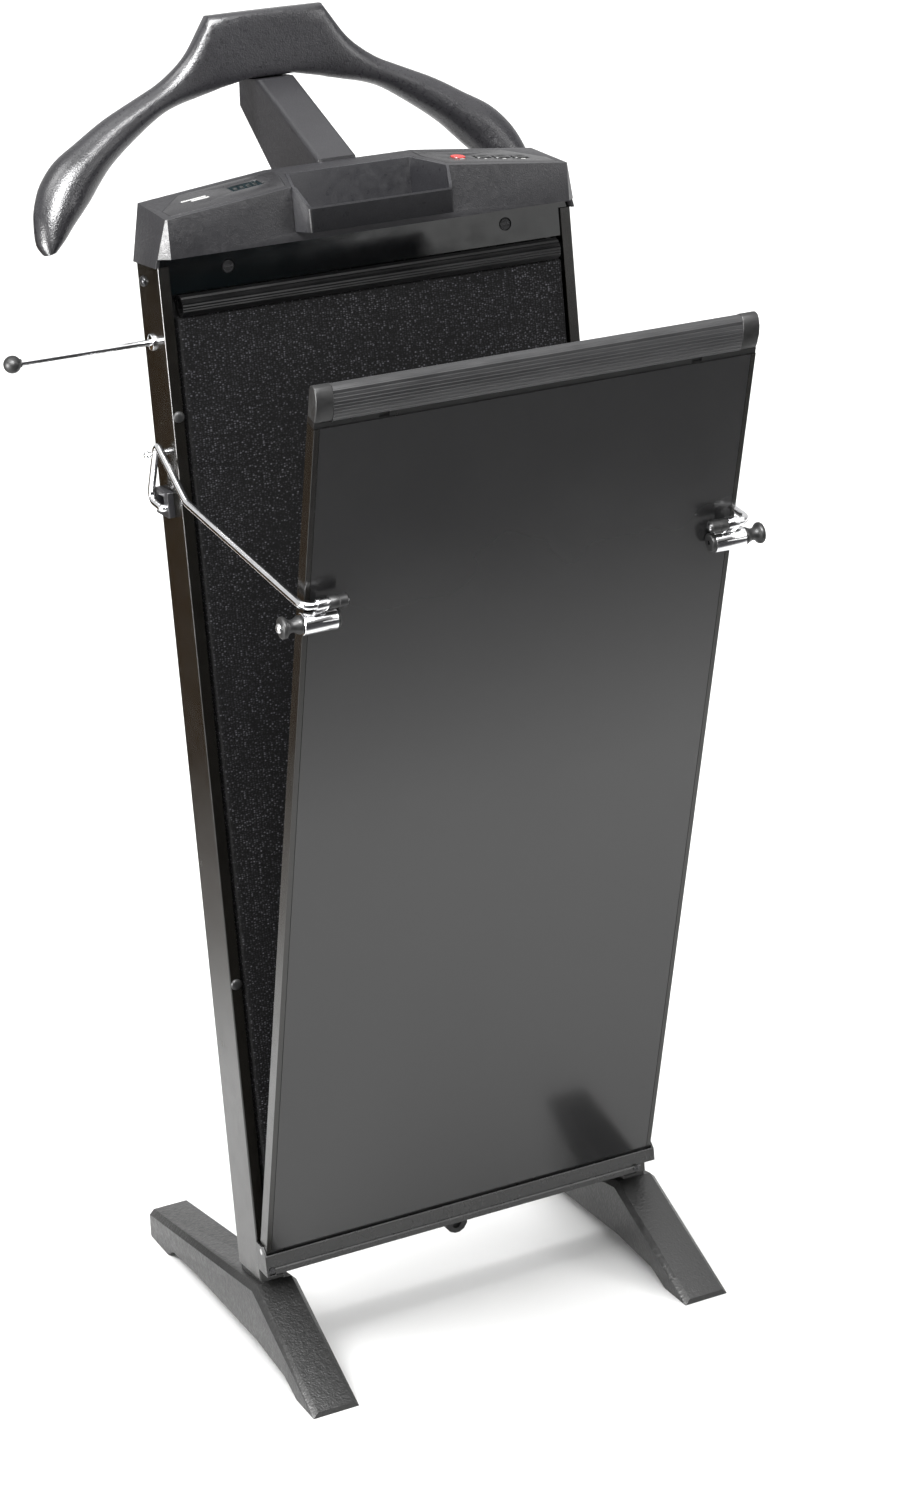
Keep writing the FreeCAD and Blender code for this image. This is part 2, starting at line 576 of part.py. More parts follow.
# door buffers on the front flanges
members = []
for i, (sg, zz) in enumerate(((-1, 320.8), (-1, 788.7), (1, 320.8), (1, 788.7))):
    p = body("Buffer%d" % i)
    turn(p, "x", [(0, -3.2), (1.6, -3.2), (1.6, 0), (4.6, 0), (4.5, 0.7), (3.7, 1.5), (2.4, 1.9), (0, 2.0)])
    p.Placement = Placement(Vector(sg * 173.5, 0, zz), Rotation(Vector(1, 0, 0), 90))
    members.append(p)
doc.recompute()
keep(group("door_buffers", members))

# ------------------------------------------------------------------- feet
FX = c["foot_x"]
for sg, side in ((-1, "left"), (1, "right")):
    b = body(side + "_foot")
    FF = c["foot_front"]; FR = c["foot_rear"]
    lo, hi = span(sg, FX - c["foot_low_half"], FX + c["foot_low_half"])
    ridge = [(FF, 0), (FF, c["foot_tip_z"]), (c["foot_ridge_y"], c["foot_ridge_z"]), (FR - 3, c["foot_rear_z"]), (FR, 2.0), (FR - 1, 0), (222, 0), (206, 9), (150, 13),
             (0, 15), (-60, 10), (-76, 3.2), (-84, 0)]
    add(b, "x", [ridge], lo, hi)
    # bevels along both upper edges
    bev = c["foot_low_half"] - c["foot_top_half"]
    dress(b, "Chamfer", bev, lambda m, e: (abs(abs(m.x) - (FX.v - c["foot_low_half"].v)) < 0.01 or abs(abs(m.x) - (FX.v + c["foot_low_half"].v)) < 0.01)
          and e.Length > 100 and ((m.z > 30 and abs(m.y) < 140) or (m.z > 40)))
    # block under the channel and the plug inside it
    lo, hi = span(sg, FX - 9, A - 1.5)
    add(b, "x", [[(1.0, 40), (D - 1.0, 40), (D - 1.0, ZB - 4), (1.0, ZB - 0.2)]], lo, hi)
    lo, hi = span(sg, 160.9, A - M - 0.1)
    add(b, "x", [[(M + 0.1, 45), (PANEL_F, 45), (PANEL_F, 118), (PK + 1.0, 118), (PK + 1.0, 97.6), (M + 0.1, 97.6)]], lo, hi)
    for zz in (80, 100):
        cut(b, "y", [("c", sx(sg, 168.5), zz, 2.5)], PANEL_F - 12, PANEL_F + 1)
    keep(b)

# ------------------------------------------------------------------- neck
NH = c["neck_half"]; HKF = c["hanger_front"]; HKB = c["hanger_back"]
b = body("neck_bracket")
side_out = [(HR + 0.2, 862), (HR + 0.2, 967), (171, 1023.8), (HKB + 0.1, 1023.8), (HKB + 0.1, 1060), (215, 1060), (216.5, 1019), (220, 996), (164, 950)]
add(b, "x", [side_out], -NH, NH)
dress(b, "Fillet", 4.0, lambda m, e: abs(abs(m.x) - NH.v) < 0.01 and e.Length > 60 and m.z > 900)
add(b, "y", [box2(-52, 52, 852, 905.5)], D - M, HR + 0.2)
for xx in (-40, 40):
    cut(b, "y", [("c", xx, 868, 2.5)], D - M - 1, HR + 1)
for zz in (1036, 1052):
    cut(b, "y", [("c", 0, zz, 2.5)], HKB - 1, 217)
keep(b)

# jacket hanger: a centre plate and two arms that widen into shoulders and sweep forwards
# lower edge X, Z; upper edge X, Z; front face Y; depth; how square the section is
arm = [(0.0, 1024.9, 0.0, 1080.7, 178.0, 22.0, 0.30), (20.0, 1024.9, 22.0, 1080.7, 178.0, 22.0, 0.30), (45.0, 1019.5, 51.0, 1080.7, 178.0, 22.0, 0.30), (51.0, 1017.7, 59.0, 1069.0, 178.0, 22.0, 0.36), (60.0, 1015.5, 70.0, 1053.0, 177.8, 22.5, 0.42),
       (68.0, 1013.5, 82.0, 1041.0, 177.5, 23.0, 0.50), (84.0, 1009.5, 99.0, 1029.0, 176.5, 25.0, 0.58), (101.0, 1002.5, 119.0, 1019.5, 174.5, 27.0, 0.62), (126.0, 985.5, 149.0, 1005.5, 171.0, 31.0, 0.66),
       (147.0, 969.0, 175.0, 990.0, 166.0, 36.0, 0.70), (160.0, 955.5, 196.0, 977.0, 161.5, 39.0, 0.72), (170.0, 944.0, 211.0, 960.7, 158.0, 38.5, 0.74), (180.0, 934.5, 219.0, 945.0, 154.5, 36.0, 0.76),
       (190.0, 925.0, 222.4, 932.0, 152.5, 33.0, 0.78), (199.0, 916.0, 223.5, 914.0, 151.0, 28.0, 0.80), (208.0, 908.5, 220.0, 905.5, 151.5, 18.0, 0.85)]


def rim(lx, lz, ux, uz, y0, dep, power, sg, n=20):
    """Rounded section between the arm's lower and upper edges."""
    pts = []
    for k in range(n):
        a = 2 * math.pi * k / n
        ca, sa = math.cos(a), math.sin(a)
        u = math.copysign(abs(ca) ** power, ca) / 2
        v = math.copysign(abs(sa) ** power, sa) * dep / 2
        pts.append(Vector(sg * ((lx + ux) / 2 + (ux - lx) * u), y0 + dep / 2 + v, (lz + uz) / 2 + (uz - lz) * u))
    pts.append(pts[0])
    return Part.makePolygon(pts)


rows = [rim(*(q + (-1,))) for q in reversed(arm[1:])] + [rim(*(q + (1,))) for q in arm]
hang = Part.makeLoft(rows, True, True)
bolts = [Part.makeCylinder(2.5, 11, Vector(0, HKB.v + 0.5, zz), Vector(0, -1, 0)) for zz in (1036, 1052)]
hang = hang.cut(Part.makeCompound(bolts))
if hang.ShapeType == "Compound" and len(hang.Solids) == 1:
    hang = hang.Solids[0]
keep(feature("jacket_hanger", hang))

# identical machine screws: feet to channels, neck to panel, hanger to neck
members = []
spots = [(sgn * 168.5, zz, D.v, 9.5) for sgn in (-1, 1) for zz in (80, 100)] + [(xx, 868, HR.v + 0.2, 9.5) for xx in (-40, 40)] + [(0, zz, None, 24.0) for zz in (1036, 1052)]
for i, (x, z, face, ln) in enumerate(spots):
    b = body("Bolt%d" % i)
    if face is None:
        face = 217.2
        add(b, "y", [("c", x, z, 2.5)], face - 26.0, face)
    else:
        add(b, "y", [("c", x, z, 2.5)], face - ln, face)
    add(b, "y", [("c", x, z, 4.4)], face, face + 2.6)
    dress(b, "Fillet", 1.2, lambda m, e: abs(m.y - (face + 2.6)) < 0.01)
    members.append(b)
keep(group("machine_screws", members))

# mains lead inlet: a rounded lug under the bottom rail
b = body("mains_inlet")
LX = 4.5
add(b, "z", [("c", LX, 20.0, 4.9)], RB - 0.7, RB + 5.5)
add(b, "z", [("c", LX, 20.0, 9.0)], RB - 8.0, RB)
add(b, "y", [[(LX - 10.6, RB - 7.5), (LX - 9.8, RB - 14.0), (LX - 6.4, RB - 18.6), (LX - 2.0, RB - 20.6), (LX + 2.0, RB - 20.6), (LX + 6.4, RB - 18.6), (LX + 9.8, RB - 14.0), (LX + 10.6, RB - 7.5)]], 14.0, 26.0)
cut(b, "y", [("c", LX, RB - 12.5, 4.0)], 13.0, 27.0)
keep(b)

# ------------------------------------------------------------------- door
# Built upright with the pivot at its own origin, then tilted forwards.
DOOR = Placement(Vector(0, c["pivot_y"].v, c["pivot_z"].v), Rotation(Vector(1, 0, 0), c["door_open"].v))
DH = c["door_half"]; DF = c["door_front"]; DB = c["door_back"]; DT = c["door_top"]; SH = c["sheet_half"]; ST = c["sheet_thick"]
b = body("door_board")
add(b, "y", [box2(-(DH - 1.5), DH - 1.5, 4.0, 782.0)], DF + ST, 6.0)
keep(b, DOOR)
b = body("door_front_sheet")
add(b, "y", [box2(-SH, SH, 4.0, DT)], DF, DF + ST)
keep(b, DOOR)
b = body("door_lining")
add(b, "y", [box2(-SH, SH, 6.0, 765.0)], 6.0, DB)
keep(b, DOOR)
for sg, side in ((-1, "left"), (1, "right")):
    b = body("door_%s_trim" % side)
    sec = [(SH + 0.4, DF), (DH, DF), (DH, 7.2), (SH + 0.4, 7.2), (SH + 0.4, 6.0), (DH - 1.5, 6.0), (DH - 1.5, DF + ST), (SH + 0.4, DF + ST)]
    add(b, "z", [[(sx(sg, p[0]), p[1]) for p in sec]], 4.0, DT)
    dress(b, "Fillet", 0.6, lambda m, e: abs(abs(m.x) - DH.v) < 0.01 and e.Length > 600)
    keep(b, DOOR)
b = body("door_foot_rail")
add(b, "x", [[(DF, -12), (1.8, -12), (4.8, -6), (4.8, 3.9), (DF, 3.9)]], -(DH - 0.2), DH - 0.2)
for sg in (-1, 1):
    lo, hi = span(sg, 164.0, DH + 1)
    cut(b, "x", [("c", 0, 0, c["pivot_pin"] + c["pivot_gap"])], lo, hi)
keep(b, DOOR)
b = body("door_top_rail")
add(b, "x", [[(DF + ST, 782.0), (6.9, 782.0), (6.9, DT + 0.1), (DF + ST, DT + 0.1)]], -(SH - 0.1), SH - 0.1)
add(b, "x", [[(DF + 1.0, DT + 0.1), (7.0, DT + 0.1), (7.0, 789.6), (DF + 1.0, 789.6)]], -(DH - 0.2), DH - 0.2)
for xx in (-123.0, 127.0):
    cut(b, "y", [box2(xx - 4, xx + 4, 786.0, 789.0)], DF + 0.5, DF + 2.5)
keep(b, DOOR)
b = body("door_bumper")
BL = c["bumper_low"]; BT = c["bumper_high"]
face_pts = []
ribs = 9
for k in range(ribs):
    t0 = k / ribs
    t1 = (k + 0.72) / ribs
    for t, dip in ((t0, 0.0), (t1, 0.0), (t1 + 0.02, 0.55), (t0 + 0.98 / ribs, 0.55)):
        z = 0.8 + t * 23.5
        y = -6.0 - 1.0 * math.sin(math.pi * min(1, t * 1.15)) + 3.6 * max(0.0, t - 0.62) ** 1.3 * 2.2
        face_pts.append((y + dip, BL + z))
outline = [(6.8, BL), (-5.4, BL)] + face_pts + [(-1.6, BT - 0.4), (2.2, BT), (5.6, BT - 2.0), (6.8, BT - 5.5)]
add(b, "x", [outline], -c["bumper_half"], c["bumper_half"])
keep(b, DOOR)
members = []
for sg, tag in ((-1, "L"), (1, "R")):
    b = body("EndCap" + tag)
    lo, hi = span(sg, c["bumper_half"], DH)
    add(b, "x", [[(6.8, BL), (-5.4, BL), (-6.6, BL + 5), (-7.4, BL + 12), (-6.6, BL + 19), (-4.2, BL + 24.0), (-1.6, BT + 0.3), (2.2, BT + 0.6), (5.8, BT - 1.6), (6.8, BT - 5.0)]], lo, hi)
    dress(b, "Fillet", 1.0, lambda m, e: abs(abs(m.x) - DH.v) < 0.01)
    b.Placement = Placement()
    members.append(b)
keep(group("bumper_end_caps", members), DOOR)

# ------------------------------------------------------ stay arms and clips
CY = c["clip_axis_y"]; CZ = c["clip_axis_z"]; TY = c["tail_y"]; TZL = c["tail_z"]; WR = c["wire_rad"]; RR = c["roller_rad"]; AX = c["axle_rad"]
tail = DOOR.multVec(Vector(0, TY.v, TZL.v))          # the wire's front end lies along X through here


def rounded(points, radii):
    """A wire of straight runs joined by tangent arcs."""
    edges = []
    last = points[0]
    for i in range(1, len(points) - 1):
        p0, p1, p2 = points[i - 1], points[i], points[i + 1]
        d1 = (p0 - p1).normalize()
        d2 = (p2 - p1).normalize()
        half = d1.getAngle(d2) / 2
        r = radii[i - 1]
        tl = r / math.tan(half)
        a = p1 + d1 * tl
        e = p1 + d2 * tl
        bis = (d1 + d2).normalize()
        m = p1 + bis * (r / math.sin(half) - r)
        edges.append(Part.LineSegment(last, a).toShape())
        edges.append(Part.Arc(a, m, e).toShape())
        last = e
    edges.append(Part.LineSegment(last, points[-1]).toShape())
    return Part.Wire(edges)


for sg, side in ((-1, "left"), (1, "right")):
    px = c["arm_plane"].v
    fx = c["arm_front_x"].v
    ay, az = c["arm_y"].v, c["arm_z"].v
    route = [Vector(sg * 172.0, ay, az), Vector(sg * px, ay, az), Vector(sg * px, 50.0, 716.5), Vector(sg * px, 20.5, 766.6), Vector(sg * px, -38.0, 729.0),
             Vector(sg * fx, tail.y, tail.z), Vector(sg * 147.5, tail.y, tail.z)]
    path = rounded(route, [3.5, 7.0, 7.0, 24.0, 8.5])
    profile = Part.Wire([Part.Circle(route[0], Vector(sg, 0, 0), WR.v).toShape()])
    pipe = path.makePipeShell([profile], True, False)
    print(side, "stay wire volume over section x length: %.4f" % (pipe.Volume / (math.pi * WR.v ** 2 * path.Length)))
    collar = Part.makeCylinder(3.9, 2.4, Vector(sg * 175.8, ay, az), Vector(-sg, 0, 0))
    wire = pipe.fuse(collar)
    keep(feature(side + "_stay_wire", wire.Solids[0] if len(wire.Solids) == 1 else wire))

    # sleeve on the wire's end
    b = body(side + "_sleeve")
    lo, hi = span(sg, 149.0, 163.0)
    add(b, "x", [("c", TY, TZL, 4.9), ("c", TY, TZL, WR)], lo, hi)
    keep(b, DOOR)

    # clip: an eye round the wire, a strap, a half shell round the roller, a cheek and the riveted axle
    b = body("ClipShell" + side)
    lo, hi = span(sg, c["clip_in"], c["clip_out"])
    R2 = RR.v + 1.1
    R1 = RR.v + 0.3
    seg = []
    for k in range(0, 15):
        a = math.radians(78 + k * 12.5)
        seg.append((CY.v + R2 * math.cos(a), CZ.v + R2 * math.sin(a)))
    for k in range(14, -1, -1):
        a = math.radians(78 + k * 12.5)
        seg.append((CY.v + R1 * math.cos(a), CZ.v + R1 * math.sin(a)))
    add(b, "x", [seg], lo, hi)
    shell = b
    e = body("ClipEye" + side)
    lo2, hi2 = span(sg, 163.3, 173.0)
    add(e, "x", [("c", TY, TZL, WR + 1.3)], lo2, hi2)
    add(e, "x", [[(TY - 1.0, TZL - 2.0), (TY - 1.6, TZL - 2.0), (CY - 3.0, CZ + R1 - 1.0 + 0.6), (CY + 1.0, CZ + R1 + 0.3), (CY + 1.2, CZ + R2), (TY + 2.6, TZL - 2.0)]], lo2, hi2)
    f1 = doc.addObject("Part::Fuse", "ClipJoin" + side)
    f1.Base = shell
    f1.Tool = e
    k1 = body("ClipCheek" + side)
    lo3, hi3 = span(sg, c["clip_out"], c["clip_out"] + 0.9)
    add(k1, "x", [("c", CY, CZ, R2 - 0.05)], lo3, hi3)
    f2 = doc.addObject("Part::Fuse", "ClipJoinB" + side)
    f2.Base = f1
    f2.Tool = k1
    ax = body("ClipAxle" + side)
    turn(ax, "x", [(0, 152.0), (AX, 152.0), (AX, 198.2), (3.6, 198.2), (3.4, 199.2), (2.4, 200.2), (0, 200.6)])
    ax.Placement = Placement(Vector(0, CY.v, CZ.v), Rotation(Vector(0, 1, 0), 90 * sg))
    doc.recompute()
    f3 = doc.addObject("Part::Fuse", "ClipJoinC" + side)
    f3.Base = f2
    f3.Tool = ax
    hole = body("ClipBore" + side)
    add(hole, "x", [("c", TY, TZL, WR + c["wire_gap"])], lo2 - 2, hi2 + 2)
    doc.recompute()
    clip = subtract(side + "_clip", f3, [hole])
    keep(clip, DOOR)

    # roller that runs on the door's face, and the knob outside it
    b = body(side + "_roller")
    lo, hi = span(sg, 151.9, c["clip_out"] - 0.3)
    add(b, "x", [("c", CY, CZ, RR), ("c", CY, CZ, AX + 0.05)], lo, hi)
    dress(b, "Fillet", 1.2, lambda m, e: e.Length > 30 and abs(abs(m.x) - 151.9) < 0.01)
    keep(b, DOOR)
    b = body(side + "_knob")
    x0 = (c["clip_out"] + 1.0).v
    turn(b, "x", [(AX + 0.02, x0), (6.6, x0), (6.9, x0 + 1.6), (6.0, x0 + 3.6), (4.9, x0 + 6.0), (4.7, x0 + 8.0), (5.4, x0 + 10.2), (7.2, x0 + 12.2), (8.2, x0 + 14.0),
                  (8.2, x0 + 15.6), (7.2, x0 + 16.6), (AX + 0.02, x0 + 16.6)])
    keep(b, DOOR * Placement(Vector(0, CY.v, CZ.v), Rotation(Vector(0, 1, 0), 90 * sg)))

# ---------------------------------------------------------------- tie bar
BY = c["bar_y"]; BZ = c["bar_z"]; BR = c["bar_rad"]
b = body("tie_bar_rod")
add(b, "x", [("c", BY, BZ, BR)], c["ball_x"], c["bar_inner"])
add(b, "x", [("c", BY, BZ, 4.6)], -172.0, -168.0)
keep(b)
b = body("tie_bar_ball")
n = 14
arc = [(c["ball_rad"].v * math.sin(math.pi * k / n), -c["ball_rad"].v * math.cos(math.pi * k / n)) for k in range(n + 1)]
arc[0] = (0, -c["ball_rad"].v)
arc[-1] = (0, c["ball_rad"].v)
turn(b, "x", arc)
ballhole = body("BallBore")
add(ballhole, "z", [("c", 0, 0, BR)], 0.0, 9.0)
ball = subtract("tie_bar_ball_bored", b, [ballhole])
b.Label = "BallBlank"
ball.Label = "tie_bar_ball"
keep(ball, Placement(Vector(c["ball_x"].v, BY.v, BZ.v), Rotation(Vector(0, 1, 0), 90)))
b = body("tie_bar_bush")
add(b, "x", [("c", BY, BZ, 5.0), ("c", BY, BZ, BR + 0.05)], -A - 0.0, -A + 6.4)
add(b, "x", [("c", BY, BZ, 6.8), ("c", BY, BZ, BR + 0.05)], -A - 2.2, -A)
dress(b, "Fillet", 0.9, lambda m, e: abs(m.x + A.v + 2.2) < 0.01 and e.Length > 30)
keep(b)
b = body("tie_bar_guide")
add(b, "x", [box2(22.0, PANEL_F, 838, 852)], -50, -40)
cut(b, "x", [("c", BY, BZ, BR + 0.06)], -51, -39)
keep(b)

# ------------------------------------------------------------ finish up
doc.recompute()
SHIFT = Placement(Vector(c["origin_dx"].v, c["origin_dy"].v, 0), Rotation())
for obj, place in NODES:
    obj.Placement = SHIFT * place
doc.recompute()

bad = []
for o in doc.Objects:
    for word in ("Invalid", "Error"):
        if word in o.State:
            bad.append("%s: %s" % (o.Label, o.State))
names = [o.Label for o, p in NODES]
if len(set(names)) != len(names):
    bad.append("two sub-parts share a label")
box = None
for o, p in NODES:
    s = o.Shape
    if s.isNull() or not s.isValid() or s.Volume <= 0 or not s.Solids:
        bad.append("bad shape: " + o.Label)
        continue
    if box is None:
        box = s.BoundBox
    else:
        box.add(s.BoundBox)
if bad:
    raise RuntimeError("; ".join(bad))
os.makedirs("parts", exist_ok=True)
for o, p in NODES:
    o.Shape.exportStep("parts/%s.step" % o.Label)
print(len(NODES), "sub-parts; box", [round(t, 3) for t in (box.XMin, box.XMax, box.YMin, box.YMax, box.ZMin, box.ZMax)])
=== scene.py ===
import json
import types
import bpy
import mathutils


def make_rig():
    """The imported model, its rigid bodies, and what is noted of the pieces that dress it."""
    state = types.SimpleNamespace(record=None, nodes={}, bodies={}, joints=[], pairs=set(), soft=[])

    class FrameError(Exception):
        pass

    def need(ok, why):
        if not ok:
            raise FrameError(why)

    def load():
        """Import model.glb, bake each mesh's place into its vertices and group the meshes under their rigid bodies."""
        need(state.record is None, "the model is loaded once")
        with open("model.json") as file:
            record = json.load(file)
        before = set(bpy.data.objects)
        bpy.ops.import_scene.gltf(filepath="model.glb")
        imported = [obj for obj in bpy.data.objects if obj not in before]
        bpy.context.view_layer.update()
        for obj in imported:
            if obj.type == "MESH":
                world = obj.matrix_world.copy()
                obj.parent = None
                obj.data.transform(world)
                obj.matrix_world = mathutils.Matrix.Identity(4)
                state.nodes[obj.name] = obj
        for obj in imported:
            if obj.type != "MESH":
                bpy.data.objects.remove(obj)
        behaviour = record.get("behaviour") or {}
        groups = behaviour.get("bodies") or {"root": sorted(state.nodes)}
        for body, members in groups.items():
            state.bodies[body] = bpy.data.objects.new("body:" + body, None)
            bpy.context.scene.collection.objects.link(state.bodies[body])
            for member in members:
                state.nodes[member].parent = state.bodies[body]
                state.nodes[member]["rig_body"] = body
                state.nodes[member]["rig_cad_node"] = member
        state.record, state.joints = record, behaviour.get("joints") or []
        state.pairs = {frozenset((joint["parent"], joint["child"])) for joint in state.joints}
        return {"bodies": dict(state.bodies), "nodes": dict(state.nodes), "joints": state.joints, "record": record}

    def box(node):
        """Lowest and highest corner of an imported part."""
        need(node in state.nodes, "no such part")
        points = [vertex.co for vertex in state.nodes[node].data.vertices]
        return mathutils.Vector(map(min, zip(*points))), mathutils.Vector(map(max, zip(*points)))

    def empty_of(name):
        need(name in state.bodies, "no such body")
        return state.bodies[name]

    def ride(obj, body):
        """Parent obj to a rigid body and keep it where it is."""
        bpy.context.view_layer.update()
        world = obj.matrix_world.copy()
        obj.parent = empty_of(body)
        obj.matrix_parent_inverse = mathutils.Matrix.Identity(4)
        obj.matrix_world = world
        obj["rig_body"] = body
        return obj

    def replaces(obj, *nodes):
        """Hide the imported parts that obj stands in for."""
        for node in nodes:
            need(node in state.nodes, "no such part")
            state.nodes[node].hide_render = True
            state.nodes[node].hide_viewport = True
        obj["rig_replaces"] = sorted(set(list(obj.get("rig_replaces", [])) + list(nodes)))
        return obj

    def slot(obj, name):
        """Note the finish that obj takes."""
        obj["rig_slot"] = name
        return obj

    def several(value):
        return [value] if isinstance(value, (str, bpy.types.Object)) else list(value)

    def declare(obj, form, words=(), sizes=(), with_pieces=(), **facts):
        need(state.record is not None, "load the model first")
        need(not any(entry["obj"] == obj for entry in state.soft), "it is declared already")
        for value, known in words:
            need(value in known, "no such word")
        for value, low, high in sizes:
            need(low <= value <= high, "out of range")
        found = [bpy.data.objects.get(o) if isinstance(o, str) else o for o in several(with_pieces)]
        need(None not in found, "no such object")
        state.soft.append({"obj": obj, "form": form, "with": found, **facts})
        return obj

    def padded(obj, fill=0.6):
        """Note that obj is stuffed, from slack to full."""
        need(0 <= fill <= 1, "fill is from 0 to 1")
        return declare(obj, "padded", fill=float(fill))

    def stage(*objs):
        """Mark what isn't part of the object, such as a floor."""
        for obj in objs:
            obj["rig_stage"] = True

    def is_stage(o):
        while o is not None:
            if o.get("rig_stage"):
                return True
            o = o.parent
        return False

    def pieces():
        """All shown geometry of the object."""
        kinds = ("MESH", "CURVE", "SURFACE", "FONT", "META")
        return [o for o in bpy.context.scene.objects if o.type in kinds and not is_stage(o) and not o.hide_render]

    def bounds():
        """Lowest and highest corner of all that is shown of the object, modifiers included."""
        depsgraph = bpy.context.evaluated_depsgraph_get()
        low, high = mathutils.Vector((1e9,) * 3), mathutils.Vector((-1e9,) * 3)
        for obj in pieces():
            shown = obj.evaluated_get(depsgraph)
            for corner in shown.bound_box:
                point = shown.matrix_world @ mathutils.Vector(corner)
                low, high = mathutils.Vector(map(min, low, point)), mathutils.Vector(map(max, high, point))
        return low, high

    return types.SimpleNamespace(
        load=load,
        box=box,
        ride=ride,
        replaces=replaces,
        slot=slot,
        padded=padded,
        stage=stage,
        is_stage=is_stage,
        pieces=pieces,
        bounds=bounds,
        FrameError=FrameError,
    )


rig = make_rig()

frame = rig.load()
import bpy
import bmesh
import json
import math
from mathutils import Matrix, Vector

CAD_BOX = [list(v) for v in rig.bounds()]
rec = frame["record"]
nodes = frame["nodes"]
joints = {j["name"]: j for j in frame["joints"]}
hinge = joints["door_hinge"]["pos_m"]
DX = hinge[0]                      # the press's centre plane in the row frame
DY = hinge[1] + 0.010              # the front flange's plane in the row frame
TILT = math.radians(21.0)          # the open door's lean


def P(x, y, z):
    """Millimetres from the centre plane, the flange plane and the floor, to the row frame."""
    return Vector((x / 1000 + DX, y / 1000 + DY, z / 1000))


def D(x, yl, zl):
    """Millimetres in the door's own upright frame, to the row frame."""
    c, s = math.cos(TILT), math.sin(TILT)
    return Vector((x / 1000 + DX, hinge[1] + (yl * c - zl * s) / 1000, hinge[2] + (yl * s + zl * c) / 1000))


# ------------------------------------------------------------------ materials
class Mat:
    """Small helper that builds a node material."""

    def __init__(self, name):
        self.m = bpy.data.materials.new(name)
        self.m.use_nodes = True
        self.t = self.m.node_tree
        self.t.nodes.clear()
        self.out = self.add("ShaderNodeOutputMaterial")
        self.b = self.add("ShaderNodeBsdfPrincipled")
        self.t.links.new(self.b.outputs[0], self.out.inputs[0])
        self.co = self.add("ShaderNodeTexCoord")

    def add(self, kind, **props):
        n = self.t.nodes.new(kind)
        for k, v in props.items():
            setattr(n, k, v)
        return n

    def link(self, a, b):
        self.t.links.new(a, b)

    def put(self, **vals):
        for k, v in vals.items():
            self.b.inputs[k.replace("_", " ")].default_value = v
        return self

    def vec(self, scale=(1, 1, 1)):
        m = self.add("ShaderNodeMapping")
        m.inputs["Scale"].default_value = scale
        self.link(self.co.outputs["Object"], m.inputs["Vector"])
        return m.outputs[0]

    def noise(self, scale, detail=2.0, rough=0.5, stretch=(1, 1, 1)):
        n = self.add("ShaderNodeTexNoise")
        n.inputs["Scale"].default_value = scale
        n.inputs["Detail"].default_value = detail
        n.inputs["Roughness"].default_value = rough
        self.link(self.vec(stretch), n.inputs["Vector"])
        return n.outputs["Fac"]

    def cells(self, scale, feature="F1", out="Distance", stretch=(1, 1, 1)):
        n = self.add("ShaderNodeTexVoronoi", feature=feature)
        n.inputs["Scale"].default_value = scale
        self.link(self.vec(stretch), n.inputs["Vector"])
        return n.outputs[out]

    def ramp(self, src, stops):
        r = self.add("ShaderNodeValToRGB")
        el = r.color_ramp.elements
        while len(el) > 1:
            el.remove(el[-1])
        for i, (pos, col) in enumerate(stops):
            e = el[0] if i == 0 else el.new(pos)
            e.position = pos
            c = col if isinstance(col, (tuple, list)) else (col, col, col)
            e.color = (c[0], c[1], c[2], 1)
        self.link(src, r.inputs[0])
        return r.outputs[0]

    def math(self, op, a, b):
        n = self.add("ShaderNodeMath", operation=op)
        for i, v in enumerate((a, b)):
            if isinstance(v, (int, float)):
                n.inputs[i].default_value = v
            else:
                self.link(v, n.inputs[i])
        return n.outputs[0]

    def mix(self, fac, a, b, kind="MIX"):
        n = self.add("ShaderNodeMix", data_type="RGBA", blend_type=kind)
        for i, v in ((0, fac), (6, a), (7, b)):
            if isinstance(v, (int, float)):
                n.inputs[i].default_value = v if i == 0 else (v, v, v, 1)
            elif isinstance(v, tuple):
                n.inputs[i].default_value = (v[0], v[1], v[2], 1)
            else:
                self.link(v, n.inputs[i])
        return n.outputs[2]

    def bump(self, src, strength, dist, after=None):
        n = self.add("ShaderNodeBump")
        n.inputs["Strength"].default_value = strength
        n.inputs["Distance"].default_value = dist
        self.link(src, n.inputs["Height"])
        if after is not None:
            self.link(after, n.inputs["Normal"])
        return n.outputs[0]

    def edge_wear_and_highlight(self, amount=0.35, radius=0.0016):
        """A mask that is brighter on convex edges, from the bevelled normal; it stands for rubbed wear and also paints
        a highlight along the edges.
        """
        bev = self.add("ShaderNodeBevel", samples=4)
        bev.inputs["Radius"].default_value = radius
        geo = self.add("ShaderNodeNewGeometry")
        dot = self.add("ShaderNodeVectorMath", operation="DOT_PRODUCT")
        self.link(bev.outputs[0], dot.inputs[0])
        self.link(geo.outputs["Normal"], dot.inputs[1])
        return self.ramp(dot.outputs["Value"], [(0.72, amount), (0.985, 0.0)])

    def done(self, color=None, rough=None, normal=None):
        if color is not None:
            self.link(color, self.b.inputs["Base Color"])
        if rough is not None:
            self.link(rough, self.b.inputs["Roughness"])
        if normal is not None:
            self.link(normal, self.b.inputs["Normal"])
        return self.m


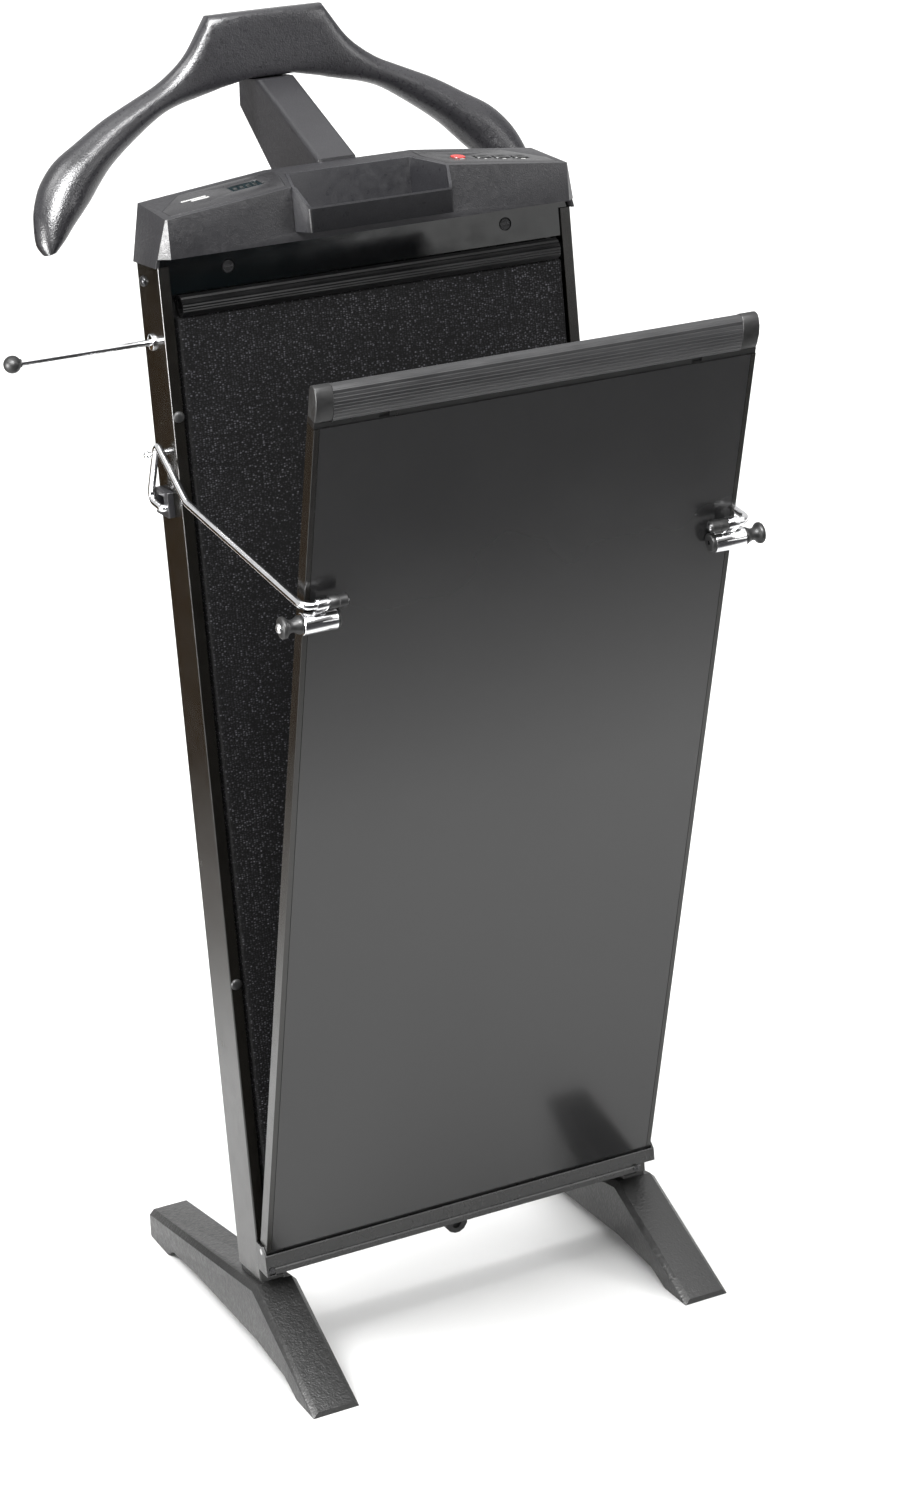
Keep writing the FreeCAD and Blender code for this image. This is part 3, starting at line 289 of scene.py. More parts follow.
def moulded(name, base, grain=900.0, depth=0.00030, rough=(0.36, 0.52), tint=(1.0, 1.0, 1.03), strength=0.55):
    """Moulded plastic with a fine pebbled texture."""
    m = Mat(name)
    m.put(Specular_IOR_Level=0.45)
    broad = m.noise(14.0, 3.0)
    col = m.ramp(broad, [(0.3, tuple(base * 0.82 * t for t in tint)), (0.7, tuple(base * 1.2 * t for t in tint))])
    # convex edges lightened: partly wear, partly a painted highlight along the edges
    worn_and_lit_edges = m.edge_wear_and_highlight(0.07, 0.0010)
    col = m.mix(worn_and_lit_edges, col, tuple(min(1, base * 4 * t) for t in tint))
    fine = m.cells(grain, "SMOOTH_F1")
    mid = m.noise(grain * 0.45, 2.0, 0.6)
    h = m.math("ADD", m.math("MULTIPLY", fine, 0.7), m.math("MULTIPLY", mid, 0.6))
    r = m.ramp(m.noise(260.0, 3.0, 0.65), [(0.3, rough[0]), (0.7, rough[1])])
    return m.done(col, r, m.bump(h, strength, depth))


def satin(name, base, rough=0.3, tint=(1, 1, 1), flake=0.0, metallic=0.0, coat=0.0, stretch=(1, 1, 0.02)):
    """Satin paint or lacquer with long faint drawing marks, light scuffs and convex edges lightened, partly as wear and
    partly as a painted edge highlight.
    """
    m = Mat(name)
    m.put(Metallic=metallic, Specular_IOR_Level=0.5, Coat_Weight=coat, Coat_Roughness=0.12)
    streak = m.noise(300.0, 3.0, 0.6, stretch)
    cloud = m.noise(6.0, 3.0)
    both = m.math("ADD", m.math("MULTIPLY", streak, 0.35), m.math("MULTIPLY", cloud, 0.65))
    col = m.ramp(both, [(0.30, tuple(base * 0.75 * t for t in tint)), (0.70, tuple(base * 1.3 * t for t in tint))])
    # convex edges lightened: partly wear, partly a painted highlight along the edges
    col = m.mix(m.edge_wear_and_highlight(0.10, 0.0009), col, tuple(min(1, base * 6 + 0.01) for t in tint))
    r = m.ramp(m.noise(45.0, 4.0, 0.7), [(0.25, max(0.03, rough - 0.06)), (0.75, rough + 0.09)])
    h = m.math("ADD", m.math("MULTIPLY", m.noise(1500.0, 2.0), 0.5), m.math("MULTIPLY", streak, 0.5))
    return m.done(col, r, m.bump(h, 0.05, 0.0002))


M = {}
M["moulded"] = moulded("moulded_black", 0.022, tint=(1.0, 0.98, 1.14), rough=(0.36, 0.48))
M["hanger"] = moulded("hanger_black", 0.029, grain=900.0, depth=0.00036, rough=(0.24, 0.36), tint=(1.0, 0.98, 1.12), strength=0.6)
M["feet"] = moulded("foot_black", 0.013, grain=620.0, depth=0.00045, rough=(0.34, 0.48), tint=(1.0, 1.0, 0.98), strength=0.7)
M["channel"] = satin("channel_paint", 0.0065, 0.20, (1.12, 1.0, 0.78))
M["trim"] = satin("trim_paint", 0.009, 0.20, (1.06, 1.0, 0.86))
M["rail"] = satin("rail_black", 0.008, 0.30, (1, 1, 1), stretch=(0.02, 1, 1))
M["blackmetal"] = satin("trough_black", 0.012, 0.26, (1, 1, 1), stretch=(0.02, 1, 1))

# mirror lacquer of the door: nearly even, with a faint ripple and haze of handling
m = Mat("door_lacquer")
m.put(Specular_IOR_Level=0.52)
col = m.ramp(m.noise(2.2, 4.0, 0.6), [(0.3, (0.0160, 0.0160, 0.0164)), (0.7, (0.0205, 0.0205, 0.0209))])
fleck = m.ramp(m.cells(1500.0), [(0.0, 0.05), (0.10, 0.0)])
col = m.mix(fleck, col, (0.20, 0.20, 0.205))
rr = m.ramp(m.noise(9.0, 5.0, 0.7), [(0.35, 0.13), (0.72, 0.20)])
M["door"] = m.done(col, rr, m.bump(m.noise(7.0, 2.0), 0.06, 0.002))

# thin glossy foil of the fascia with its waves
m = Mat("fascia_gloss")
m.put(Specular_IOR_Level=0.6)
col = m.ramp(m.noise(9.0, 3.0, 0.5, (0.5, 1, 2.0)), [(0.35, (0.0006, 0.0012, 0.0015)), (0.7, (0.0022, 0.0058, 0.0072))])
wave = m.noise(16.0, 2.0, 0.5, (0.6, 1, 1.4))
M["fascia"] = m.done(col, m.ramp(m.noise(60.0, 3.0), [(0.3, 0.06), (0.7, 0.12)]), m.bump(wave, 0.12, 0.002))

# woven pad cover: fine rows with brighter flecks where threads cross
m = Mat("pad_weave")
m.put(Specular_IOR_Level=0.08, Sheen_Weight=0.02, Sheen_Roughness=0.4)
row = m.add("ShaderNodeTexWave", wave_type="BANDS", bands_direction="Z")
row.inputs["Scale"].default_value = 260.0
row.inputs["Distortion"].default_value = 0.6
row.inputs["Detail"].default_value = 1.0
m.link(m.vec(), row.inputs["Vector"])
colw = m.add("ShaderNodeTexWave", wave_type="BANDS", bands_direction="X")
colw.inputs["Scale"].default_value = 230.0
colw.inputs["Distortion"].default_value = 0.6
m.link(m.vec(), colw.inputs["Vector"])
weave = m.math("MULTIPLY", row.outputs["Fac"], colw.outputs["Fac"])
spots = m.cells(560.0, "F1", "Color", (0.80, 1, 1.10))
spots.node.inputs["Randomness"].default_value = 0.62
near = m.ramp(spots.node.outputs["Distance"], [(0.10, 1.0), (0.34, 0.28), (0.52, 0.0)])
sep = m.add("ShaderNodeSeparateColor")
m.link(spots, sep.inputs[0])
light = m.ramp(sep.outputs[0], [(0.0, 0.012), (0.40, 0.030), (0.75, 0.070), (1.0, 0.17)])
light = m.mix(near, (0.0012, 0.0012, 0.0014), light)
light2 = m.ramp(m.noise(1300.0, 3.0, 0.7), [(0.35, 0.45), (0.72, 1.6)])
col = m.mix(1.0, light, light2, "MULTIPLY")
tone = m.ramp(m.noise(5.0, 3.0), [(0.3, (0.86, 0.85, 0.98)), (0.7, (1.08, 1.06, 1.16))])
col = m.mix(1.0, col, tone, "MULTIPLY")
hh = m.math("ADD", m.math("MULTIPLY", weave, 0.6), m.math("MULTIPLY", sep.outputs[0], 0.4))
M["pad"] = m.done(col, m.ramp(m.noise(400.0, 2.0), [(0.3, 0.72), (0.7, 0.92)]), m.bump(hh, 0.65, 0.0007))

# chrome with wiping marks
m = Mat("chrome_plate")
m.put(Metallic=1.0)
col = m.ramp(m.noise(90.0, 3.0), [(0.3, (0.70, 0.70, 0.71)), (0.7, (0.84, 0.84, 0.85))])
M["chrome"] = m.done(col, m.ramp(m.noise(240.0, 4.0, 0.7, (0.3, 1, 1)), [(0.3, 0.08), (0.75, 0.18)]), m.bump(m.noise(700.0, 2.0), 0.05, 0.0002))
m = Mat("zinc_plate")
m.put(Metallic=1.0)
col = m.ramp(m.noise(160.0, 4.0, 0.6), [(0.3, (0.40, 0.40, 0.41)), (0.7, (0.62, 0.62, 0.61))])
M["zinc"] = m.done(col, m.ramp(m.noise(300.0, 3.0), [(0.3, 0.22), (0.7, 0.38)]), m.bump(m.noise(900.0, 2.0), 0.15, 0.0002))
m = Mat("black_screw")
m.put(Metallic=0.6)
col = m.ramp(m.noise(200.0, 3.0), [(0.3, (0.015, 0.015, 0.016)), (0.7, (0.04, 0.04, 0.042))])
# the screw heads' edges lightened: partly wear, partly a painted highlight
M["screw"] = m.done(m.mix(m.edge_wear_and_highlight(0.5, 0.0006), col, (0.25, 0.25, 0.26)), m.ramp(m.noise(300.0, 3.0), [(0.3, 0.25), (0.7, 0.4)]), m.bump(m.noise(900.0, 2.0), 0.1, 0.0002))

m = Mat("soft_black")
m.put(Specular_IOR_Level=0.4)
col = m.ramp(m.noise(60.0, 4.0, 0.6), [(0.3, (0.006, 0.006, 0.006)), (0.72, (0.014, 0.014, 0.0145))])
# convex edges lightened: partly wear, partly a painted highlight
col = m.mix(m.edge_wear_and_highlight(0.16, 0.0008), col, (0.10, 0.10, 0.105))
M["soft"] = m.done(col, m.ramp(m.noise(220.0, 3.0), [(0.3, 0.38), (0.7, 0.55)]), m.bump(m.noise(1600.0, 2.0), 0.15, 0.0002))

m = Mat("strip_black")
m.put(Specular_IOR_Level=0.14)
col = m.ramp(m.noise(80.0, 3.0, 0.6, (0.1, 1, 1)), [(0.3, (0.0022, 0.0022, 0.0024)), (0.7, (0.0060, 0.0060, 0.0064))])
# the ribs' edges lightened: a painted highlight along them, partly wear too
M["strip"] = m.done(m.mix(m.edge_wear_and_highlight(0.18, 0.0006), col, (0.10, 0.10, 0.105)), m.ramp(m.noise(180.0, 3.0, 0.6, (0.2, 1, 1)), [(0.3, 0.28), (0.7, 0.42)]), m.bump(m.noise(900.0, 2.0), 0.12, 0.0002))

m = Mat("bumper_black")
m.put(Specular_IOR_Level=0.45)
col = m.ramp(m.noise(80.0, 3.0, 0.6, (0.1, 1, 1)), [(0.3, (0.020, 0.020, 0.0212)), (0.7, (0.036, 0.036, 0.038))])
# convex edges lightened: partly wear, partly a painted highlight
M["bumper"] = m.done(m.mix(m.edge_wear_and_highlight(0.18, 0.0006), col, (0.12, 0.12, 0.125)), m.ramp(m.noise(180.0, 3.0, 0.6, (0.2, 1, 1)), [(0.3, 0.28), (0.7, 0.42)]), m.bump(m.noise(900.0, 2.0), 0.12, 0.0002))
M["plate"] = moulded("plate_satin", 0.026, grain=1500.0, depth=0.00012, rough=(0.26, 0.36), tint=(1.0, 0.985, 1.08), strength=0.3)
m = Mat("tray_black")
m.put(Specular_IOR_Level=0.22)
dust = m.ramp(m.noise(900.0, 3.0, 0.7), [(0.35, 0.0), (0.75, 1.0)])
col = m.mix(dust, (0.036, 0.0355, 0.0395), (0.056, 0.0565, 0.0630))
# painted shade: the outer front face of the tray, ahead of the plane DY - 31.8 mm, is coloured near-black with a lower
# specular level, while the inside keeps the lighter dusty black; the split stands in for the shade on the front face
sy = m.add("ShaderNodeSeparateXYZ")
m.link(m.co.outputs["Object"], sy.inputs[0])
front = m.ramp(m.math("ADD", sy.outputs[1], 0.5 - (DY - 0.0318)), [(0.4990, 1.0), (0.5010, 0.0)])
col = m.mix(front, col, (0.0022, 0.0022, 0.0022))
m.link(m.ramp(front, [(0.0, 0.24), (1.0, 0.02)]), m.b.inputs["Specular IOR Level"])
M["tray"] = m.done(col, m.ramp(m.noise(140.0, 4.0), [(0.3, 0.26), (0.7, 0.40)]), m.bump(m.noise(1100.0, 2.0), 0.12, 0.0002))
m = Mat("window_glass")
m.put(Specular_IOR_Level=0.12)
col = m.ramp(m.noise(120.0, 2.0), [(0.3, (0.006, 0.014, 0.017)), (0.7, (0.012, 0.024, 0.028))])
M["window"] = m.done(col, m.ramp(m.noise(200.0, 2.0), [(0.3, 0.08), (0.7, 0.16)]), None)
m = Mat("window_segment")
col = m.ramp(m.noise(500.0, 2.0), [(0.3, (0.006, 0.010, 0.010)), (0.7, (0.012, 0.016, 0.016))])
M["segment"] = m.done(col, m.ramp(m.noise(200.0, 2.0), [(0.3, 0.2), (0.7, 0.3)]), None)
m = Mat("button_red")
m.put(Specular_IOR_Level=0.5, Coat_Weight=0.2)
col = m.ramp(m.noise(220.0, 3.0), [(0.3, (0.55, 0.022, 0.020)), (0.7, (0.74, 0.045, 0.035))])
# the button's edges lightened: partly wear, partly a painted highlight
M["red"] = m.done(m.mix(m.edge_wear_and_highlight(0.4, 0.0007), col, (0.85, 0.25, 0.2)), m.ramp(m.noise(260.0, 3.0), [(0.3, 0.3), (0.7, 0.42)]), m.bump(m.noise(1400.0, 2.0), 0.15, 0.0002))
m = Mat("button_black")
col = m.ramp(m.noise(220.0, 3.0), [(0.3, (0.005, 0.005, 0.006)), (0.7, (0.011, 0.011, 0.012))])
# the keys' edges lightened into a light outline: partly wear, partly a painted highlight
M["key"] = m.done(m.mix(m.edge_wear_and_highlight(0.35, 0.0007), col, (0.2, 0.2, 0.21)), m.ramp(m.noise(260.0, 3.0), [(0.3, 0.26), (0.7, 0.36)]), m.bump(m.noise(1400.0, 2.0), 0.12, 0.0002))
m = Mat("print_white")
col = m.ramp(m.noise(400.0, 3.0), [(0.3, (0.62, 0.62, 0.60)), (0.7, (0.78, 0.78, 0.76))])
M["white"] = m.done(col, m.ramp(m.noise(260.0, 3.0), [(0.3, 0.4), (0.7, 0.5)]), None)

# hardboard, painted on the outside
m = Mat("board_painted")
fib = m.noise(130.0, 6.0, 0.75, (1, 1, 0.5))
col = m.ramp(fib, [(0.3, (0.014, 0.013, 0.012)), (0.7, (0.036, 0.034, 0.031))])
M["board"] = m.done(col, m.ramp(fib, [(0.3, 0.5), (0.7, 0.75)]), m.bump(fib, 0.4, 0.0004))
m = Mat("lining_felt")
m.put(Sheen_Weight=0.3, Specular_IOR_Level=0.2)
fib = m.noise(900.0, 5.0, 0.8)
col = m.ramp(fib, [(0.3, (0.020, 0.020, 0.022)), (0.7, (0.055, 0.055, 0.058))])
M["felt"] = m.done(col, m.ramp(fib, [(0.3, 0.8), (0.7, 0.95)]), m.bump(fib, 0.6, 0.0006))
m = Mat("foam_open")
cel = m.cells(500.0, "SMOOTH_F1")
M["foam"] = m.done(m.ramp(cel, [(0.0, (0.35, 0.31, 0.22)), (0.6, (0.62, 0.58, 0.45))]), m.ramp(cel, [(0.0, 0.8), (1.0, 0.95)]), m.bump(cel, 0.6, 0.001))
m = Mat("heater_foil")
m.put(Metallic=1.0)
cr = m.noise(40.0, 4.0)
M["foil"] = m.done(m.ramp(cr, [(0.3, (0.6, 0.6, 0.62)), (0.7, (0.8, 0.8, 0.82))]), m.ramp(cr, [(0.3, 0.2), (0.7, 0.4)]), m.bump(cr, 0.3, 0.001))
m = Mat("circuit_green")
tr = m.cells(300.0, "DISTANCE_TO_EDGE")
M["circuit"] = m.done(m.ramp(tr, [(0.02, (0.05, 0.18, 0.08)), (0.08, (0.02, 0.10, 0.05))]), m.ramp(m.noise(200.0), [(0.3, 0.3), (0.7, 0.5)]), m.bump(tr, 0.2, 0.0003))

SHOW = {
    "channel": ["left_side_channel", "right_side_channel"],
    "trim": ["door_left_trim", "door_right_trim"],
    "blackmetal": ["hinge_trough", "trough_end_brackets", "cross_braces", "bottom_cross_rail"],
    "rail": ["door_foot_rail", "door_top_rail"],
    "board": ["back_panel", "pad_back_plate", "door_board"],
    "door": ["door_front_sheet"],
    "fascia": ["fascia_strip"],
    "moulded": ["head_cover", "head_base", "neck_bracket", "window_brackets"],
    "tray": ["tray"],
    "hanger": ["jacket_hanger"],
    "feet": ["left_foot", "right_foot"],
    "plate": ["display_plate", "control_plate"],
    "window": ["display_module"],
    "circuit": ["circuit_board"],
    "strip": ["grip_rail"],
    "bumper": ["door_bumper"],
    "soft": ["bumper_end_caps", "door_buffers", "left_roller", "right_roller", "left_knob", "right_knob", "tie_bar_guide", "mains_inlet", "tie_bar_ball", "left_sleeve", "right_sleeve"],
    "pad": ["pad_fabric"],
    "foam": ["pad_foam"],
    "foil": ["heater_sheet"],
    "felt": ["door_lining"],
    "chrome": ["left_stay_wire", "right_stay_wire", "left_clip", "right_clip", "tie_bar_rod", "tie_bar_bush", "stop_pins"],
    "zinc": ["machine_screws", "door_pivot_pins"],
    "screw": ["frame_screws", "side_dome_screws"],
    "red": ["power_button"],
    "key": ["short_press_button", "medium_press_button", "long_press_button"],
}
for key, names in SHOW.items():
    for n in names:
        if n in nodes:
            o = nodes[n]
            if not o.material_slots:
                o.data.materials.append(M[key])
            for s in o.material_slots:
                s.material = M[key]


# ---------------------------------------------------------------- mesh tools
def piece(name, verts, faces, key, body, slot, stands_for=(), smooth=35.0):
    me = bpy.data.meshes.new(name)
    me.from_pydata([tuple(v) for v in verts], [], faces)
    me.update()
    bm = bmesh.new()
    bm.from_mesh(me)
    bmesh.ops.remove_doubles(bm, verts=bm.verts, dist=1e-7)
    bmesh.ops.recalc_face_normals(bm, faces=bm.faces)
    bm.to_mesh(me)
    bm.free()
    o = bpy.data.objects.new(name, me)
    bpy.context.scene.collection.objects.link(o)
    me.materials.append(M[key])
    finish_shade(o, smooth)
    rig.ride(o, body)
    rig.slot(o, slot)
    if stands_for:
        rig.replaces(o, *stands_for)
    return o


def finish_shade(o, smooth):
    me = o.data
    me.polygons.foreach_set("use_smooth", [True] * len(me.polygons))
    if smooth is not None:
        me.set_sharp_from_angle(angle=math.radians(smooth))


def tube(rings, closed_ends=True, loop=False):
    """Vertices and faces through rings of equal length."""
    n = len(rings[0])
    verts = [p for r in rings for p in r]
    faces = []
    for i in range(len(rings) - (0 if loop else 1)):
        j = (i + 1) % len(rings)
        for k in range(n):
            faces.append((i * n + k, i * n + (k + 1) % n, j * n + (k + 1) % n, j * n + k))
    if closed_ends and not loop:
        faces.append(tuple(range(n - 1, -1, -1)))
        faces.append(tuple((len(rings) - 1) * n + k for k in range(n)))
    return verts, faces


def lathe(profile, origin, axis, up=None, n=48):
    """Turn (radius, distance) pairs about an axis; the first and last radius may be 0."""
    axis = Vector(axis).normalized()
    u = axis.orthogonal().normalized()
    v = axis.cross(u)
    rings = []
    for r, d in profile:
        rings.append([Vector(origin) + axis * (d / 1000) + (u * math.cos(2 * math.pi * k / n) + v * math.sin(2 * math.pi * k / n)) * (max(r, 0.002) / 1000) for k in range(n)])
    return tube(rings)


def round_profile(pts, seg=5, default=0.0):
    """2-D outline with rounded corners. pts are (a, b) or (a, b, radius)."""
    out = []
    n = len(pts)
    for i in range(n):
        p = Vector(pts[i][:2])
        r = pts[i][2] if len(pts[i]) > 2 else default
        if r <= 0:
            out.append(p)
            continue
        a = (Vector(pts[i - 1][:2]) - p)
        b = (Vector(pts[(i + 1) % n][:2]) - p)
        la, lb = a.length, b.length
        a.normalize()
        b.normalize()
        ang = a.angle(b)
        tl = min(r / math.tan(ang / 2), la * 0.48, lb * 0.48)
        rr = tl * math.tan(ang / 2)
        bis = (a + b).normalized()
        cen = p + bis * (rr / math.sin(ang / 2))
        s = p + a * tl - cen
        e = p + b * tl - cen
        t0 = math.atan2(s.y, s.x)
        t1 = math.atan2(e.y, e.x)
        dt = (t1 - t0 + math.pi) % (2 * math.pi) - math.pi
        for k in range(seg + 1):
            t = t0 + dt * k / seg
            out.append(cen + Vector((math.cos(t), math.sin(t))) * rr)
    return out


def soften(node, key, width=0.0012, segments=3, angle=24.0, name=None, smooth=45.0, merge=True):
    """A copy of a CAD node's mesh with its hard edges rounded over."""
    src = nodes[node]
    me = src.data.copy()
    me.name = name or node + "_shell"
    bm = bmesh.new()
    bm.from_mesh(me)
    bmesh.ops.remove_doubles(bm, verts=bm.verts, dist=2e-6)
    bmesh.ops.dissolve_degenerate(bm, dist=2e-6, edges=bm.edges)
    if merge:
        bmesh.ops.dissolve_limit(bm, angle_limit=math.radians(1.2), verts=bm.verts, edges=bm.edges, use_dissolve_boundaries=False)
    bmesh.ops.recalc_face_normals(bm, faces=bm.faces)
    for f in bm.faces:
        f.smooth = True
    bm.to_mesh(me)
    bm.free()
    if me.has_custom_normals:
        me.free_normals_split() if hasattr(me, "free_normals_split") else None
    o = bpy.data.objects.new(me.name, me)
    bpy.context.scene.collection.objects.link(o)
    mod = o.modifiers.new("round", "BEVEL")
    mod.width = width
    mod.segments = segments
    mod.limit_method = "ANGLE"
    mod.angle_limit = math.radians(angle)
    mod.use_clamp_overlap = True
    mod.harden_normals = False
    mod.miter_outer = "MITER_ARC"
    dg = bpy.context.evaluated_depsgraph_get()
    new = bpy.data.meshes.new_from_object(o.evaluated_get(dg))
    bpy.data.objects.remove(o)
    new.name = name or node + "_shell"
    o = bpy.data.objects.new(new.name, new)
    bpy.context.scene.collection.objects.link(o)
    new.materials.clear()
    new.materials.append(M[key])
    for p in new.polygons:
        p.material_index = 0
    finish_shade(o, smooth)
    body = src["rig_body"]
    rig.ride(o, body)
    slot = next(s["material_slot"] for s in rec["subparts"] if s["node"] == node)
    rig.slot(o, slot)
    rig.replaces(o, node)
    return o


def prism(outline, a, b, place, edge=0.4):
    """A bar with the given 2-D outline between two stations, its end rims rounded."""
    n = len(outline)
    area = sum(outline[i].x * outline[(i + 1) % n].y - outline[(i + 1) % n].x * outline[i].y for i in range(n)) / 2
    sgn = 1 if area > 0 else -1
    nor = []
    for i in range(n):
        e1 = (outline[i] - outline[i - 1])
        e2 = (outline[(i + 1) % n] - outline[i])
        e1 = e1.normalized() if e1.length > 1e-9 else e2.normalized()
        e2 = e2.normalized() if e2.length > 1e-9 else e1
        t = (e1 + e2).normalized()
        nor.append(Vector((t.y, -t.x)) * sgn)
    rings = []
    steps = [(0.0, 1.0), (0.3, 0.3), (1.0, 0.0)]
    sg = 1 if b > a else -1
    for along, inset in steps:
        rings.append([place(a + sg * edge * along, *(outline[i] - nor[i] * edge * inset)) for i in range(n)])
    for along, inset in reversed(steps):
        rings.append([place(b - sg * edge * along, *(outline[i] - nor[i] * edge * inset)) for i in range(n)])
    return tube(rings)


def vec2(pts):
    return [Vector((p[0], p[1])) for p in pts]


def smooth_path(points, radii, step=8):
    """Straight runs joined by tangent arcs, as points."""
    out = [points[0]]
    for i in range(1, len(points) - 1):
        p0, p1, p2 = points[i - 1], points[i], points[i + 1]
        d1 = (p0 - p1).normalized()
        d2 = (p2 - p1).normalized()
        half = d1.angle(d2) / 2
        r = radii[i - 1]
        tl = r / math.tan(half)
        bis = (d1 + d2).normalized()
        cen = p1 + bis * (r / math.sin(half))
        a = p1 + d1 * tl - cen
        e = p1 + d2 * tl - cen
        ang = a.angle(e)
        for k in range(step + 1):
            t = k / step
            v = (a * math.sin((1 - t) * ang) + e * math.sin(t * ang)) / math.sin(ang)
            out.append(cen + v)
    out.append(points[-1])
    return out


def wire_mesh(path, r, n=20, rounded=True):
    """A round bar along a path, with slightly domed ends."""
    tang = []
    for i in range(len(path)):
        a = path[max(0, i - 1)]
        b = path[min(len(path) - 1, i + 1)]
        tang.append((b - a).normalized())
    u = tang[0].orthogonal().normalized()
    rings = []
    for i, p in enumerate(path):
        t = tang[i]
        u = (u - t * u.dot(t)).normalized()
        v = t.cross(u)
        ring = lambda c, rr: [c + (u * math.cos(2 * math.pi * k / n) + v * math.sin(2 * math.pi * k / n)) * rr for k in range(n)]
        if rounded and i == 0:
            rings.append(ring(p, r * 0.7))
            rings.append(ring(p + t * r * 0.3, r))
        elif rounded and i == len(path) - 1:
            rings.append(ring(p - t * r * 0.3, r))
            rings.append(ring(p, r * 0.7))
        else:
            rings.append(ring(p, r))
    return tube(rings)


def spline(vals, t):
    """Catmull-Rom through equally spaced values."""
    n = len(vals) - 1
    x = min(max(t, 0.0), 1.0) * n
    i = min(int(x), n - 1)
    f = x - i
    p0 = vals[max(0, i - 1)]
    p1 = vals[i]
    p2 = vals[i + 1]
    p3 = vals[min(n, i + 2)]
    return 0.5 * ((2 * p1) + (-p0 + p2) * f + (2 * p0 - 5 * p1 + 4 * p2 - p3) * f * f + (-p0 + 3 * p1 - 3 * p2 + p3) * f ** 3)


# ------------------------------------------------------------- jacket hanger
ARM = [(0.0, 1024.9, 0.0, 1080.7, 178.0, 22.0, 0.30), (20.0, 1024.9, 22.0, 1080.7, 178.0, 22.0, 0.30), (45.0, 1019.5, 51.0, 1080.7, 178.0, 22.0, 0.52), (51.0, 1017.7, 59.0, 1069.0, 178.0, 22.0, 0.64), (60.0, 1015.5, 70.0, 1053.0, 177.8, 22.5, 0.76),
       (68.0, 1013.5, 82.0, 1041.0, 177.5, 23.0, 0.84), (84.0, 1009.5, 99.0, 1029.0, 176.5, 25.0, 0.90), (101.0, 1002.5, 119.0, 1019.5, 174.5, 27.0, 0.94), (126.0, 985.5, 149.0, 1005.5, 171.0, 31.0, 0.98),
       (147.0, 969.0, 175.0, 990.0, 166.0, 36.0, 1.0), (160.0, 955.5, 196.0, 977.0, 161.5, 39.0, 1.0), (170.0, 944.0, 211.0, 960.7, 158.0, 38.5, 1.0), (180.0, 934.5, 219.0, 945.0, 154.5, 36.0, 1.0),
       (190.0, 925.0, 222.4, 932.0, 152.5, 33.0, 1.0), (199.0, 916.0, 223.5, 914.0, 151.0, 28.0, 1.0), (208.0, 908.5, 220.0, 905.5, 151.5, 18.0, 1.0)]


def hanger_ring(q, sg, n=48):
    lx, lz, ux, uz, y0, dep, power = q
    out = []
    for k in range(n):
        a = 2 * math.pi * k / n
        ca, sa = math.cos(a), math.sin(a)
        u = math.copysign(abs(ca) ** power, ca) / 2
        v = math.copysign(abs(sa) ** power, sa) * dep / 2
        out.append(P(sg * ((lx + ux) / 2 + (ux - lx) * u), y0 + dep / 2 + v, (lz + uz) / 2 + (uz - lz) * u))
    return out


fine = []
for i in range(len(ARM) - 1):
    sub = 2 if i < 3 else 4
    for k in range(sub):
        t = (i + k / sub) / (len(ARM) - 1)
        if i <= 2:
            f = k / sub
            fine.append(tuple(ARM[i][j] + (ARM[i + 1][j] - ARM[i][j]) * f for j in range(7)))
        else:
            fine.append(tuple(spline([a[j] for a in ARM], t) for j in range(7)))
fine.append(ARM[-1])
tip = ARM[-1]
for f, sc in ((0.5, 0.86), (0.85, 0.62), (1.0, 0.30)):
    # domed tip
    cx, cz = (tip[0] + tip[2]) / 2 + 0.2 * f, (tip[1] + tip[3]) / 2 - 1.4 * f
    hx, hz = (tip[2] - tip[0]) / 2 * sc, (tip[3] - tip[1]) / 2 * sc
    fine.append((cx - hx, cz - hz, cx + hx, cz + hz, tip[4] + tip[5] * (1 - sc) / 2, tip[5] * sc, 0.9))
rings = [hanger_ring(q, -1) for q in reversed(fine[1:])] + [hanger_ring(q, 1) for q in fine]
v, f = tube(rings)
piece("hanger_moulding", v, f, "hanger", "frame", "textured_black", ["jacket_hanger"], smooth=40.0)

# ------------------------------------------------------------------ the pad
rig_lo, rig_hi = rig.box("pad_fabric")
NX, NZ = 64, 140
W2 = (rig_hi.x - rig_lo.x) / 2
H2 = (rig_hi.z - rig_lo.z) / 2
cx, cz = (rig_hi.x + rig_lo.x) / 2, (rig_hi.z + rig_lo.z) / 2
R = 0.0027


def ease(i, n):
    """Stations from -1 to 1, packed towards the ends."""
    t = 2.0 * i / n - 1.0
    return math.copysign(1 - (1 - abs(t)) ** 1.7, t)


